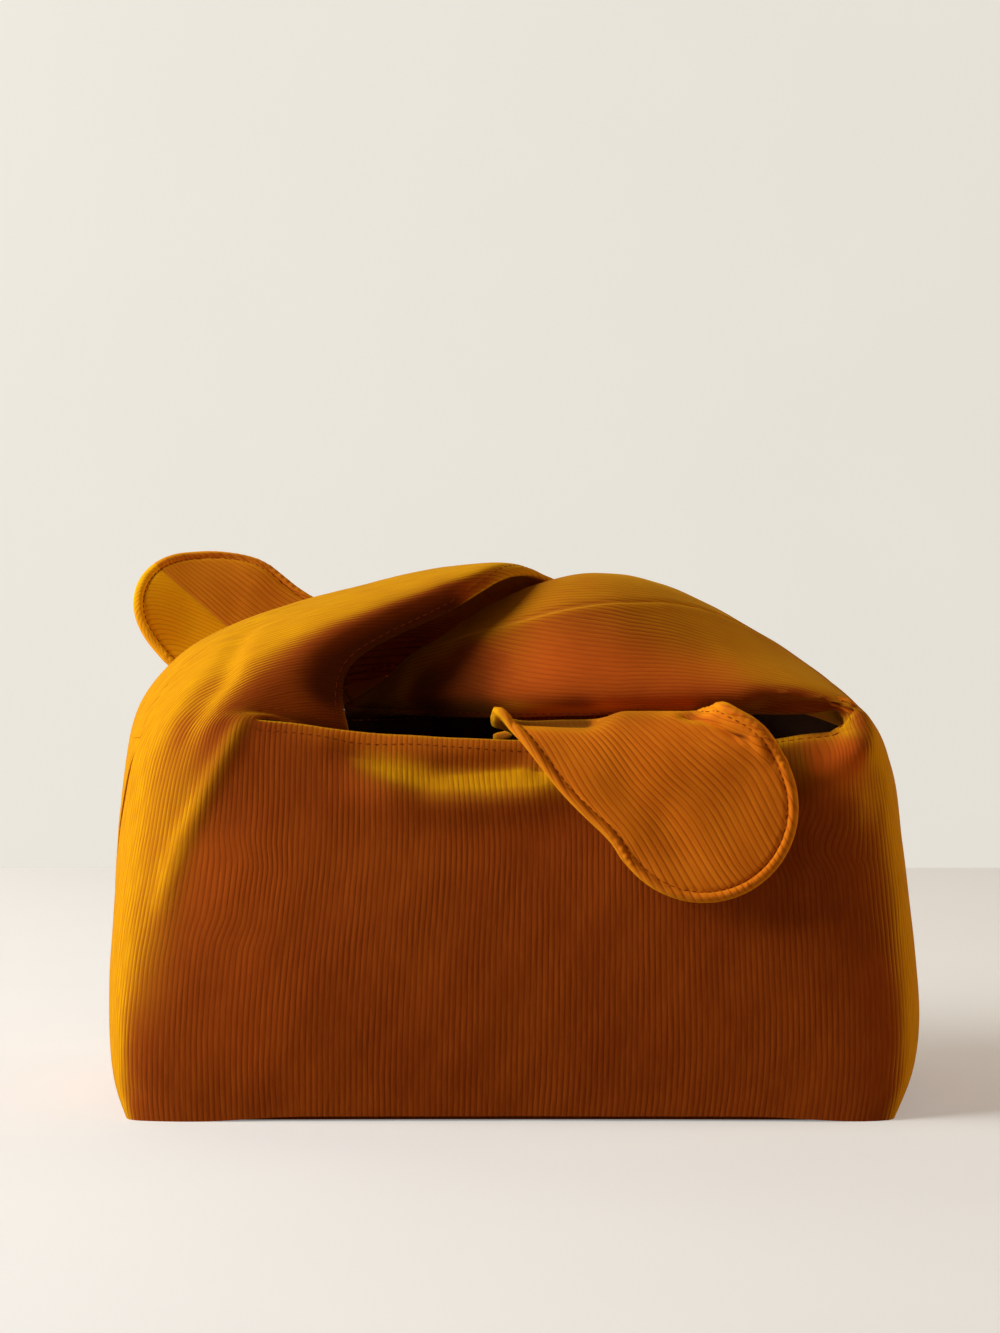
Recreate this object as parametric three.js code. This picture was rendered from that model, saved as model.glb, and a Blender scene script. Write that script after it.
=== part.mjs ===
import * as THREE from 'three';

// Knotted corduroy cosmetic bag. Millimetres, X to the right, Y to the back, Z up.
// A boxed body rises into two wide ties that cross in a half knot over the mouth.
// Every cloth piece is a thin closed sheet laid off one smooth outer surface.

// Overall sizes
const baseWidth = 266;
const baseDepth = 130;
const knotHeight = 190;

// Cloth and board
const outerCloth = 1.0;
const facingCloth = 0.8;
const liningCloth = 0.5;
const baseCloth = 1.2;
const boardThickness = 2.0;
const layerGap = 0.3;
const creaseGap = 0.7;

// Rounded ends of the two ties
const frontTabRadius = 33;
const rearTabRadius = 34;

// Rows of facets along each cloth piece
const facetRows = { leftStrap: 22, rightStrap: 16, frontTab: 9, rearTab: 8 };

// The stations below are drawn for a bag of these sizes and follow the overall sizes.
const drawn = { width: 266, depth: 130, height: 190 };

function place([x, y, z]) {
  return new THREE.Vector3(
    x * baseWidth / drawn.width,
    y * baseDepth / drawn.depth,
    z * knotHeight / drawn.height,
  );
}

// Body stations: rings from the foot to the rim. Each lists the left side seam, the
// front panel and the right side seam; the back is the front mirrored in Y.
const ringX = [
  [-134, -134, -134, -134, -97, -48, 0, 48, 97, 134, 134, 134, 134],
  [-143, -142, -139, -134, -96, -48, 0, 48, 96, 134, 140, 146, 147],
  [-145, -144, -141, -132, -95, -48, 0, 48, 96, 134, 143, 148, 148],
  [-143, -142, -138, -124, -92, -48, 0, 48, 97, 131, 140, 143, 144],
  [-141, -139, -131, -108, -88, -46, 0, 48, 99, 127, 136, 139, 140],
  [-140, -136, -124, -110, -104, -54, 0, 53, 125, 129, 133, 135, 135],
];
const ringY = [
  [0, -26, -57, -66, -66, -65, -65, -65, -66, -66, -57, -26, 0],
  [0, -27, -56, -66, -66, -66, -66, -66, -66, -66, -57, -27, 0],
  [0, -27, -54, -67, -68, -69, -69, -69, -68, -66, -55, -27, 0],
  [0, -28, -51, -65, -68, -69, -69, -69, -68, -64, -52, -27, 0],
  [0, -29, -50, -63, -66, -66, -65, -66, -67, -62, -50, -27, 0],
  [0, -30, -49, -60, -60, -57, -54, -56, -58, -54, -44, -25, 0],
];
const ringZ = [0, 9, 32, 70, 105];
const rimZ = [130, 131, 134, 140, 154, 148, 132, 136, 148, 140, 132, 129, 128];
// The rim's back half is the front's mirrored in Y, but for these
const backRimX = [-140, -136, -124, -104, -90, -48, 0, 48, 98, 119, 131, 135, 135];
const backRimZ = [130, 131, 134, 137, 141, 139, 138, 138, 141, 136, 130, 129, 128];

// Tie stations from the rim to the rounded end. Each holds the front free edge, the
// front fold, the centre seam, the back fold and the back free edge, and how far the
// cloth between them bows out as a share of the seam's rise over the folds.
const leftTie = [
  [[-52, -46, 127], [-91, -61, 151], [-134, 2, 148], [-100, 53, 141], [-83, 56, 139], 0.20],
  [[-58, -45, 139], [-76, -57, 161], [-114, 6, 166], [-86, 51, 150], [-74, 51, 144], 0.20],
  [[-60, -42, 157], [-58, -51, 172], [-82, 8, 177], [-70, 50, 160], [-62, 53, 149], 0.20],
  [[-37, -37, 168], [-35, -44, 180], [-50, 10, 185], [-50, 52, 165], [-46, 56, 153], 0.15],
  [[-15, -30, 177], [-13, -33, 189], [-21, 14, 191], [-28, 56, 165], [-28, 58, 155], 0.12],
  [[5, -15, 193], [4, -10, 196], [2, 24, 188], [-10, 55, 161], [-14, 56, 155], 0.05],
  [[29, 34, 178], [26, 37, 175], [17, 46, 162], [3, 52, 148], [-3, 52, 144], 0],
  [[61, 45, 161], [55, 47, 160], [36, 49, 144], [9, 47, 134], [1, 46, 133], 0],
  [[77, 38, 126], [71, 39, 124], [40, 38, 116], [9, 33, 115], [1, 31, 117], 0],
  [[86, 10, 113], [78, 8, 110], [40, 6, 110], [5, 4, 112], [-3, 4, 114], 0],
  [[78, -24, 120], [72, -26, 118], [35, -26, 118], [2, -26, 119], [-5, -26, 121], 0],
  [[66, -47, 137], [60, -47, 137], [29.5, -47, 137], [-1, -47, 137], [-7, -47, 137], 0],
  [[66, -60.8, 139.3], [60, -61.8, 140.3], [29.5, -62, 142], [-1, -62, 142], [-7, -62, 142], 0],
  [[77, -75, 145], [70, -71, 141], [42, -70, 134], [9, -70, 134], [3, -70, 134], 0],
  [[85, -77, 140], [79, -75, 135], [54, -75, 120], [26, -72, 112], [18, -70, 113], 0],
];
const rightTie = [
  [[116, -50, 139], [114, -58, 148], [119, 2, 148], [104, 56, 146], [86, 54, 148], 0.22],
  [[95, -46, 139], [92, -60, 149], [99, 0, 162], [88, 52, 158], [78, 48, 156], 0.22],
  [[66, -44, 139], [64, -60, 146], [72, -6, 177], [64, 44, 172], [58, 36, 167], 0.22],
  [[38, -42, 139], [36, -58, 144], [44, -27, 183], [38, 14, 189], [36, 18, 181], 0.20],
  [[10, -36, 138], [8, -51, 143], [14, -36, 176], [10, -8, 187], [10, -3, 181], 0.18],
  [[-16, -24, 136], [-18, -36, 145], [-14, -24, 165], [-14, 0, 174], [-14, 5, 170], 0.1],
  [[-44, -6, 137], [-44, -16, 144], [-38, 2, 160], [-26, 24, 163], [-22, 28, 160], 0],
  [[-62, 28, 130], [-59, 24, 135], [-46, 37, 147], [-28, 49, 150], [-24, 52, 149], 0],
  [[-66.3, 58, 145], [-63.5, 59.3, 144.8], [-44.5, 67.5, 145], [-25, 75.7, 146.7], [-22, 77, 147], 0],
  [[-89, 71, 149], [-86, 72.3, 149.4], [-66.5, 80.5, 152], [-47, 88.7, 154.6], [-44, 90, 155], 0],
];

// The rounded ends: the centre of the half circle, the ways to the tip and to the back
// edge, and rows of how far along they lie and how round they have become
const frontEndForm = {
  centre: [66, -75, 109.5],
  along: [0.52, -0.05, -0.85],
  across: [-0.85, 0.04, -0.52],
  radius: frontTabRadius,
  rows: [[-8, 0.15], [-3.5, 0.5], [-0.5, 0.85], [0, 1]],
};
const rearEndForm = {
  centre: [-99, 68, 156],
  along: [-0.745, 0.163, 0.647],
  across: [0.56, 0.72, 0.41],
  radius: rearTabRadius,
  rows: [[0, 0], [10, 0.5], [17, 0.85], [19, 1]],
};

// Where the loose ends hinge: the tie row at the knot's mouth, at the front and back
const frontCreaseRow = 13;
const rearCreaseRow = 9;

// Heights of the facet rows up the body, counted in rings, between the foot and the rim
const wallStations = [0.6, 1.1, 1.7, 2.5, 3.4, 4.2, 4.6];

// Ring columns that each tie grows from, from its front edge over the seam to its back
// edge, and the rim column beside each edge
const leftRoot = { columns: [4, 3, 2, 1, 0, 23, 22, 21, 20], frontRim: 5, backRim: 19 };
const rightRoot = { columns: [8, 9, 10, 11, 12, 13, 14, 15, 16], frontRim: 7, backRim: 17 };
const lastColumn = leftRoot.columns.length - 1;
const seamColumn = lastColumn / 2;

function bodyRings() {
  return ringX.map((row, level) => {
    const isRim = level === ringX.length - 1;
    const y = ringY[level];
    const front = row.map((x, i) => place([x, y[i], isRim ? rimZ[i] : ringZ[level]]));
    const back = row.map((x, i) => (
      place([isRim ? backRimX[i] : x, -y[i], isRim ? backRimZ[i] : ringZ[level]])));
    return [...front, ...back.slice(1, -1).reverse()];
  });
}

function tieRow([frontEdge, frontFold, seam, backFold, backEdge, bow]) {
  const [ef, nf, c, nb, eb] = [frontEdge, frontFold, seam, backFold, backEdge].map(place);
  const rise = c.clone().sub(nf.clone().add(nb).multiplyScalar(0.5));
  const between = (fold, share, strength) => (
    fold.clone().lerp(c, share).addScaledVector(rise, bow * strength));
  return [
    ef, nf, between(nf, 0.30, 1.15), between(nf, 0.66, 0.9), c,
    between(nb, 0.66, 0.9), between(nb, 0.30, 1.15), nb, eb,
  ];
}

// A rounded end: straight rows that turn into a half circle round `centre`
function roundEnd({ centre, along, across, radius, rows }) {
  const a = new THREE.Vector3(...along).normalize();
  const b = new THREE.Vector3(...across);
  b.addScaledVector(a, -b.dot(a)).normalize();
  const shares = [-1, -0.8, -0.55, -0.28, 0, 0.28, 0.55, 0.8, 1];
  return rows.map(([distance, roundness]) => shares.map((s) => {
    const turn = s * Math.PI / 2;
    const side = radius * ((1 - roundness) * s + roundness * Math.sin(turn));
    const reach = distance + roundness * radius * Math.cos(turn);
    return place(centre).addScaledVector(a, reach).addScaledVector(b, side);
  }));
}

const mirrorPoint = (end, next) => end.clone().multiplyScalar(2).sub(next);

// Guard rows and columns let the smooth surface reach the net's own edges.
function guardColumns(rows) {
  return rows.map((row) => [
    mirrorPoint(row[0], row[1]), ...row, mirrorPoint(row.at(-1), row.at(-2)),
  ]);
}

function tieNet(rows, rings, root) {
  const below = rings.at(-2);
  const rim = rings.at(-1);
  const end = rows.at(-1).map((p, i) => mirrorPoint(p, rows.at(-2)[i]));
  const net = guardColumns([root.columns.map((i) => below[i]), ...rows, end]);
  net[0][0] = below[root.frontRim];
  net[1][0] = rim[root.frontRim];
  net[0][lastColumn + 2] = below[root.backRim];
  net[1][lastColumn + 2] = rim[root.backRim];
  return net;
}

function bodyNet(rings, ties) {
  const foot = rings[0].map((p, i) => mirrorPoint(p, rings[1][i]));
  const above = rings.at(-1).map((p, i) => mirrorPoint(p, rings.at(-2)[i]));
  for (const { net, root } of ties) {
    root.columns.forEach((column, i) => { above[column] = net[2][i + 1]; });
    above[root.frontRim] = net[2][0];
    above[root.backRim] = net[2][lastColumn + 2];
  }
  return [foot, ...rings, above].map((row) => [row.at(-1), ...row, row[0], row[1]]);
}

// Uniform cubic B-spline weights of four neighbouring points, and their slopes
const weights = (f) => [
  (1 - f) ** 3 / 6,
  (3 * f ** 3 - 6 * f ** 2 + 4) / 6,
  (-3 * f ** 3 + 3 * f ** 2 + 3 * f + 1) / 6,
  f ** 3 / 6,
];
const slopes = (f) => [
  -((1 - f) ** 2) / 2,
  (3 * f ** 2 - 4 * f) / 2,
  (-3 * f ** 2 + 2 * f + 1) / 2,
  f ** 2 / 2,
];

// Point and outward normal of a net at row v and column u
function surfacePoint(net, v, u, side) {
  const i = Math.min(Math.max(Math.floor(v), 0), net.length - 4);
  const j = Math.min(Math.max(Math.floor(u), 0), net[0].length - 4);
  const sum = (rowWeights, columnWeights) => {
    const total = new THREE.Vector3();
    rowWeights.forEach((a, k) => columnWeights.forEach((b, m) => {
      total.addScaledVector(net[i + k][j + m], a * b);
    }));
    return total;
  };
  const point = sum(weights(v - i), weights(u - j));
  const alongU = sum(weights(v - i), slopes(u - j));
  const alongV = sum(slopes(v - i), weights(u - j));
  const normal = alongU.cross(alongV).normalize().multiplyScalar(side);
  return { point, normal };
}

// One closed sheet of cloth between two depths under the smooth outer surface
function sheet({ net, side }, rows, columns, outerDepth, thickness) {
  const positions = [];
  const index = [];
  const grid = rows.map((v) => columns.map((u) => surfacePoint(net, v, u, side)));
  for (const depth of [outerDepth, outerDepth + thickness]) {
    for (const { point, normal } of grid.flat()) {
      positions.push(...point.clone().addScaledVector(normal, -depth).toArray());
    }
  }
  const columnCount = columns.length;
  const layerSize = rows.length * columnCount;
  const quad = (a, b, c, d) => {
    index.push(...(side > 0 ? [a, b, c, a, c, d] : [a, c, b, a, d, c]));
  };
  for (let i = 0; i + 1 < rows.length; i += 1) {
    for (let j = 0; j + 1 < columnCount; j += 1) {
      const a = i * columnCount + j;
      const [b, c, d] = [a + 1, a + columnCount + 1, a + columnCount];
      quad(a, b, c, d);
      quad(layerSize + a, layerSize + d, layerSize + c, layerSize + b);
    }
  }
  const border = [];
  for (let j = 0; j + 1 < columnCount; j += 1) border.push(j);
  for (let i = 0; i + 1 < rows.length; i += 1) border.push(i * columnCount + columnCount - 1);
  for (let j = columnCount - 1; j > 0; j -= 1) border.push((rows.length - 1) * columnCount + j);
  for (let i = rows.length - 1; i > 0; i -= 1) border.push(i * columnCount);
  border.forEach((a, k) => {
    const b = border[(k + 1) % border.length];
    quad(b, a, layerSize + a, layerSize + b);
  });
  const geometry = new THREE.BufferGeometry();
  geometry.setAttribute('position', new THREE.Float32BufferAttribute(positions, 3));
  geometry.setIndex(index);
  geometry.computeVertexNormals();
  return geometry;
}

// A flat plate inside the body's foot, `inset` in from the outer face
function plate(body, inset, bottom, thickness) {
  const outline = [];
  for (let u = 0; u < 24; u += 0.5) {
    const { point, normal } = surfacePoint(body.net, 0, u, body.side);
    const inward = new THREE.Vector2(normal.x, normal.y).normalize().multiplyScalar(inset);
    outline.push(new THREE.Vector2(point.x, point.y).sub(inward));
  }
  const geometry = new THREE.ExtrudeGeometry(new THREE.Shape(outline), {
    depth: thickness, bevelEnabled: false,
  });
  return geometry.translate(0, 0, bottom);
}

function steps(from, to, count) {
  return Array.from({ length: count + 1 }, (_, i) => from + (to - from) * i / count);
}

// Every half column from one to another, with the ends drawn in from a seam
function halfSteps(from, to, startInset, endInset) {
  const columns = steps(from, to, 2 * (to - from));
  columns[0] += startInset;
  columns[columns.length - 1] -= endInset;
  return columns;
}

// The step in row or column that moves the surface on by at least a given length
const probe = 0.01;
function rowStep(patch, v, length) {
  const moves = steps(0, lastColumn, lastColumn).map((u) => {
    const a = surfacePoint(patch.net, v, u, patch.side).point;
    return a.distanceTo(surfacePoint(patch.net, v + probe, u, patch.side).point);
  });
  return probe * length / Math.min(...moves);
}

function columnStep(patch, v, u, length) {
  const a = surfacePoint(patch.net, v, u, patch.side).point;
  const b = surfacePoint(patch.net, v, u + probe, patch.side).point;
  return probe * length / a.distanceTo(b);
}

// The surfaces
const rings = bodyRings();
const tieRows = (root, stations, end) => [
  root.columns.map((i) => rings.at(-1)[i]), ...stations.map(tieRow), ...roundEnd(end),
];
const leftRows = tieRows(leftRoot, leftTie, frontEndForm);
const rightRows = tieRows(rightRoot, rightTie, rearEndForm);
const left = { net: tieNet(leftRows, rings, leftRoot), side: -1 };
const right = { net: tieNet(rightRows, rings, rightRoot), side: 1 };
const body = {
  net: bodyNet(rings, [{ net: left.net, root: leftRoot }, { net: right.net, root: rightRoot }]),
  side: 1,
};

// Materials
function cloth(color, roughness) {
  return new THREE.MeshStandardMaterial({ color, roughness, metalness: 0 });
}
const corduroy = () => cloth(0xb3621a, 0.95);
const innerCorduroy = () => cloth(0x9c5416, 0.95);
const liningTwill = () => cloth(0x6b3a18, 0.9);
const greyBoard = () => cloth(0x8d8678, 0.85);

const bag = new THREE.Group();

function add(name, geometry, material) {
  const mesh = new THREE.Mesh(geometry, material);
  mesh.name = name;
  bag.add(mesh);
}

const facingDepth = outerCloth + layerGap;
const rimRow = rings.length - 1;
const ringColumns = rings[0].length;
const halfRing = ringColumns / 2;

// Body walls: a front and a back panel that meet at the side seams
function addWalls() {
  const seamStep = columnStep(body, 2, 0, layerGap / 2);
  const liningFoot = rowStep(body, 0, baseCloth + layerGap + liningCloth);
  const wallRows = [0, liningFoot, ...wallStations, rimRow];
  const liningRows = wallRows.slice(1);
  const halves = [
    ['front', 0, halfRing],
    ['back', halfRing, ringColumns],
  ];
  for (const [name, from, to] of halves) {
    const columns = halfSteps(from, to, seamStep, seamStep);
    add(`outer_${name}`, sheet(body, wallRows, columns, 0, outerCloth), corduroy());
    const lining = sheet(body, liningRows, columns, facingDepth, liningCloth);
    add(`lining_${name}`, lining, liningTwill());
  }
}

// The flat foot: outer cloth, stiffening board and lining cloth, one on another
function addBase() {
  const boardInset = facingDepth + liningCloth + layerGap;
  const boardBottom = baseCloth + layerGap;
  const liningBottom = boardBottom + boardThickness + layerGap;
  add('outer_base', plate(body, facingDepth, 0, baseCloth), corduroy());
  add('base_board', plate(body, boardInset, boardBottom, boardThickness), greyBoard());
  add('lining_base', plate(body, boardInset, liningBottom, liningCloth), liningTwill());
}

// One tie: two outer halves that meet at the centre seam, and one facing
function addTie(name, tie, fromRow, toRow, rowCount, names) {
  const rows = steps(fromRow, toRow, rowCount);
  const seamStep = columnStep(tie, (fromRow + toRow) / 2, seamColumn, layerGap / 2);
  const frontColumns = halfSteps(0, seamColumn, 0, seamStep);
  const backColumns = halfSteps(seamColumn, lastColumn, seamStep, 0);
  const wholeColumns = halfSteps(0, lastColumn, 0, 0);
  add(`${name}_${names[0]}`, sheet(tie, rows, frontColumns, 0, outerCloth), corduroy());
  add(`${name}_${names[1]}`, sheet(tie, rows, backColumns, 0, outerCloth), corduroy());
  add(`${name}_facing`, sheet(tie, rows, wholeColumns, facingDepth, facingCloth), innerCorduroy());
}

function addTies() {
  const straps = [
    ['left_strap', left, frontCreaseRow, facetRows.leftStrap],
    ['right_strap', right, rearCreaseRow, facetRows.rightStrap],
  ];
  for (const [name, tie, creaseRow, rowCount] of straps) {
    const start = rowStep(tie, 0, layerGap);
    const end = creaseRow - rowStep(tie, creaseRow, creaseGap / 2);
    addTie(name, tie, start, end, rowCount, ['front', 'back']);
  }
  const tabs = [
    ['front_tab', left, frontCreaseRow, facetRows.frontTab, ['outer_upper', 'outer_lower']],
    ['rear_tab', right, rearCreaseRow, facetRows.rearTab, ['outer_lower', 'outer_upper']],
  ];
  for (const [name, tie, creaseRow, rowCount, names] of tabs) {
    const start = creaseRow + rowStep(tie, creaseRow, creaseGap / 2);
    addTie(name, tie, start, tie.net.length - 3, rowCount, names);
  }
}

addWalls();
addBase();
addTies();

export default bag;
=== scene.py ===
"""Knotted cosmetic bag of fine-wale corduroy: its cloth, lining, base and edge stitching.

Lengths are millimetres and become metres where a mesh is made. X runs to the right of the
front, Y to the back and Z up. The body and the two ties are one smooth surface: a net of
stations under a cubic spline. Each station also carries the cloth's own coordinates, so
the ribs run over the surface as they do on the flat cut cloth.
"""

import logging
import math
from dataclasses import dataclass, field
from enum import Enum

import bpy
import numpy as np
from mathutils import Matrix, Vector


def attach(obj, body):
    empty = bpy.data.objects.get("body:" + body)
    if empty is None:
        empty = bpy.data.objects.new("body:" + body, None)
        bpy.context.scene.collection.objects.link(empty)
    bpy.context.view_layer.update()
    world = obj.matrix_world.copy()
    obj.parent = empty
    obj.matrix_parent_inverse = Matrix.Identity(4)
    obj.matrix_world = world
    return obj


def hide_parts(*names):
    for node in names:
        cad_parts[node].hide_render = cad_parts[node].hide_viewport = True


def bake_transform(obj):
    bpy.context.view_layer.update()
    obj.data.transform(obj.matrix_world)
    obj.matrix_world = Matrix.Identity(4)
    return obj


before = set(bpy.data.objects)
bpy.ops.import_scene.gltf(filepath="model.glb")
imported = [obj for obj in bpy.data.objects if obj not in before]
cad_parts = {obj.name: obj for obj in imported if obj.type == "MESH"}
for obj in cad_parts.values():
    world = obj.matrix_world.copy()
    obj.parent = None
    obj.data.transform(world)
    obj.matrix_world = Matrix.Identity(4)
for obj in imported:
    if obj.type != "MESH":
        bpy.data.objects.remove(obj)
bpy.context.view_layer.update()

log = logging.getLogger("bag")
Array = np.ndarray
MM = 0.001


# Cloth and seam sizes


@dataclass(frozen=True)
class Cloth:
    """Thicknesses and sewn details of the bag's cloth, in millimetres."""

    middle_depth: float = 1.05
    half_thickness: float = 1.05
    edge_radius: float = 1.15
    ridge_height: float = 0.62
    ridge_place: float = 2.0
    ridge_width: float = 1.25
    stitch_inset: float = 3.8
    stitch_groove: float = 0.7
    stitch_groove_width: float = 0.5
    stitch_pitch: float = 2.9
    layer_gap: float = 0.03
    seam_groove: float = 0.2
    seam_groove_width: float = 0.55
    seam_pad: float = 0.22
    seam_pad_width: float = 2.6
    rib_pitch: float = 1.9
    grid_step: float = 2.0


CLOTH = Cloth()
FAR = 1e9
NO_SEAM = 99.0


class Side(Enum):
    """The two sides of a cloth sandwich: the outer cloth or the facing and lining."""

    OUTER = 1
    FACING = -1


class Half(Enum):
    """The halves of the bag that meet at the side seams."""

    FRONT = 0
    BACK = 1


# The smooth surface


def spline_weights(f: Array) -> Array:
    """Uniform cubic spline weights of four neighbouring stations at the fraction f."""
    return np.stack(
        [(1 - f) ** 3, 3 * f**3 - 6 * f**2 + 4, -3 * f**3 + 3 * f**2 + 3 * f + 1, f**3], -1
    ) / 6


def spline_slopes(f: Array) -> Array:
    """Slopes of the cubic spline weights at the fraction f."""
    return np.stack(
        [-((1 - f) ** 2), 3 * f**2 - 4 * f, -3 * f**2 + 2 * f + 1, f**2], -1
    ) / 2


@dataclass
class Samples:
    """Points of a surface with their unit directions and cloth coordinates."""

    point: Array
    normal: Array
    along_u: Array
    along_v: Array
    pattern: Array


def unit(a: Array) -> Array:
    """Vectors divided by their lengths."""
    return a / (np.linalg.norm(a, axis=-1, keepdims=True) + 1e-12)


class SmoothNet:
    """A cubic spline surface over a net of stations with one guard row and column round it.

    Each station holds its place and its two cloth coordinates.
    """

    def __init__(self, stations: Array, outward: int) -> None:
        """Keeps the net and the sign that turns its normal outwards."""
        self.stations = stations
        self.outward = outward

    def _sum(self, i: Array, j: Array, row_weights: Array, column_weights: Array) -> Array:
        """Weighted sum of the sixteen stations round each sample."""
        total = 0.0
        for k in range(4):
            for m in range(4):
                share = row_weights[..., k, None] * column_weights[..., m, None]
                total = total + self.stations[i + k, j + m] * share
        return total

    def sample(self, v: Array, u: Array) -> Samples:
        """Evaluates the surface.

        Args:
            v: Row coordinates, one per sample.
            u: Column coordinates of the same shape.

        Returns:
            Places, directions and cloth coordinates at the samples.
        """
        v, u = np.broadcast_arrays(np.asarray(v, float), np.asarray(u, float))
        i = np.clip(np.floor(v).astype(int), 0, self.stations.shape[0] - 4)
        j = np.clip(np.floor(u).astype(int), 0, self.stations.shape[1] - 4)
        rows, columns = spline_weights(v - i), spline_weights(u - j)
        value = self._sum(i, j, rows, columns)
        du = self._sum(i, j, rows, spline_slopes(u - j))[..., :3]
        dv = self._sum(i, j, spline_slopes(v - i), columns)[..., :3]
        normal = unit(np.cross(du, dv)) * self.outward
        return Samples(value[..., :3], normal, unit(du), unit(dv), value[..., 3:])


# Stations of the bag


@dataclass(frozen=True)
class BodyForm:
    """Rings of the boxed body from the foot to the rim: left seam, front, right seam.

    The back is the front mirrored in Y, but for the rim's own heights and places.
    """

    ring_x: tuple = (
        (-134, -134, -134, -134, -97, -48, 0, 48, 97, 134, 134, 134, 134),
        (-143, -142, -139, -134, -96, -48, 0, 48, 96, 134, 140, 146, 147),
        (-145, -144, -141, -132, -95, -48, 0, 48, 96, 134, 143, 148, 148),
        (-143, -142, -138, -124, -92, -48, 0, 48, 97, 131, 140, 143, 144),
        (-141, -139, -131, -108, -88, -46, 0, 48, 99, 127, 136, 139, 140),
        (-140, -136, -124, -110, -104, -54, 0, 53, 125, 129, 133, 135, 135),
    )
    ring_y: tuple = (
        (0, -26, -57, -66, -66, -65, -65, -65, -66, -66, -57, -26, 0),
        (0, -27, -56, -66, -66, -66, -66, -66, -66, -66, -57, -27, 0),
        (0, -27, -54, -67, -68, -69, -69, -69, -68, -66, -55, -27, 0),
        (0, -28, -51, -65, -68, -69, -69, -69, -68, -64, -52, -27, 0),
        (0, -29, -50, -63, -66, -66, -65, -66, -67, -62, -50, -27, 0),
        (0, -30, -49, -60, -60, -57, -54, -56, -58, -54, -44, -25, 0),
    )
    ring_z: tuple = (0, 9, 32, 70, 105)
    rim_z: tuple = (130, 131, 134, 140, 154, 148, 132, 136, 148, 140, 132, 129, 128)
    back_rim_x: tuple = (-140, -136, -124, -104, -90, -48, 0, 48, 98, 119, 131, 135, 135)
    back_rim_z: tuple = (130, 131, 134, 137, 141, 139, 138, 138, 141, 136, 130, 129, 128)

    def rings(self) -> Array:
        """Places of the rings' stations, with the back half after the front one.

        Returns:
            An array of rings, columns and coordinates.
        """
        x, y = np.array(self.ring_x, float), np.array(self.ring_y, float)
        z = np.repeat(np.array((*self.ring_z, 0), float)[:, None], x.shape[1], 1)
        front_z, back_z = z.copy(), z.copy()
        front_z[-1], back_z[-1] = self.rim_z, self.back_rim_z
        back_x = x.copy()
        back_x[-1] = self.back_rim_x
        front = np.stack([x, y, front_z], -1)
        back = np.stack([back_x, -y, back_z], -1)
        return np.concatenate([front, back[:, 1:-1][:, ::-1]], 1)


END_SHARES = (-1, -0.8, -0.55, -0.28, 0, 0.28, 0.55, 0.8, 1)


@dataclass(frozen=True)
class RoundEnd:
    """The rounded end of a tie: straight rows that turn into a half circle."""

    centre: tuple
    along: tuple
    across: tuple
    radius: float
    rows: tuple

    def stations(self) -> tuple[Array, Array]:
        """Places of the end's rows and how far each lies from the middle of the tie.

        A row's station at share s lies radius times the mix of s and sin(s quarter turns)
        to the side, and radius times cos(s quarter turns) further along as it rounds.
        """
        a = unit(np.array(self.along, float))
        b = np.array(self.across, float)
        b = unit(b - a * (a @ b))
        s = np.array(END_SHARES)
        distance, roundness = np.array(self.rows, float).T[..., None]
        turn = s * math.pi / 2
        aside = self.radius * ((1 - roundness) * s + roundness * np.sin(turn))
        reach = distance + roundness * self.radius * np.cos(turn)
        place = np.array(self.centre) + reach[..., None] * a + aside[..., None] * b
        return place, aside


@dataclass(frozen=True)
class TieForm:
    """Stations of a tie from the rim to its rounded end.

    Each station holds the front free edge, the front fold, the middle seam, the back fold
    and the back free edge, and how far the cloth between them bows out.
    """

    stations: tuple
    end: RoundEnd
    columns: tuple
    front_rim: int
    back_rim: int
    outward: int
    crease_row: float
    part_row: float
    seam_lean: tuple
    rib_shift: tuple
    facing_fan: tuple = ((0, 1), (1, 1))
    bow_near: tuple = (0.30, 1.15)
    bow_far: tuple = (0.66, 0.9)

    def rows(self) -> tuple[Array, Array]:
        """Places of the tie's rows past the rim, and distances from the middle line.

        Returns:
            The places of nine stations a row, and their signed distances, front negative.
        """
        table = np.array([s[:5] for s in self.stations], float)
        bow = np.array([s[5] for s in self.stations])[:, None]
        edge_f, fold_f, seam, fold_b, edge_b = table.transpose(1, 0, 2)
        rise = seam - (fold_f + fold_b) / 2

        def between(fold: Array, share_and_lift: tuple) -> Array:
            share, lift = share_and_lift
            return fold + (seam - fold) * share + rise * bow * lift

        straight = np.stack(
            [
                edge_f,
                fold_f,
                between(fold_f, self.bow_near),
                between(fold_f, self.bow_far),
                seam,
                between(fold_b, self.bow_far),
                between(fold_b, self.bow_near),
                fold_b,
                edge_b,
            ],
            1,
        )
        places, aside = self.end.stations()
        rows = np.concatenate([straight, places])
        step = np.linalg.norm(np.diff(straight, axis=1), axis=-1)
        run = np.concatenate([np.zeros((len(step), 1)), np.cumsum(step, 1)], 1)
        return rows, np.concatenate([run - run[:, 4:5], aside])


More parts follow.
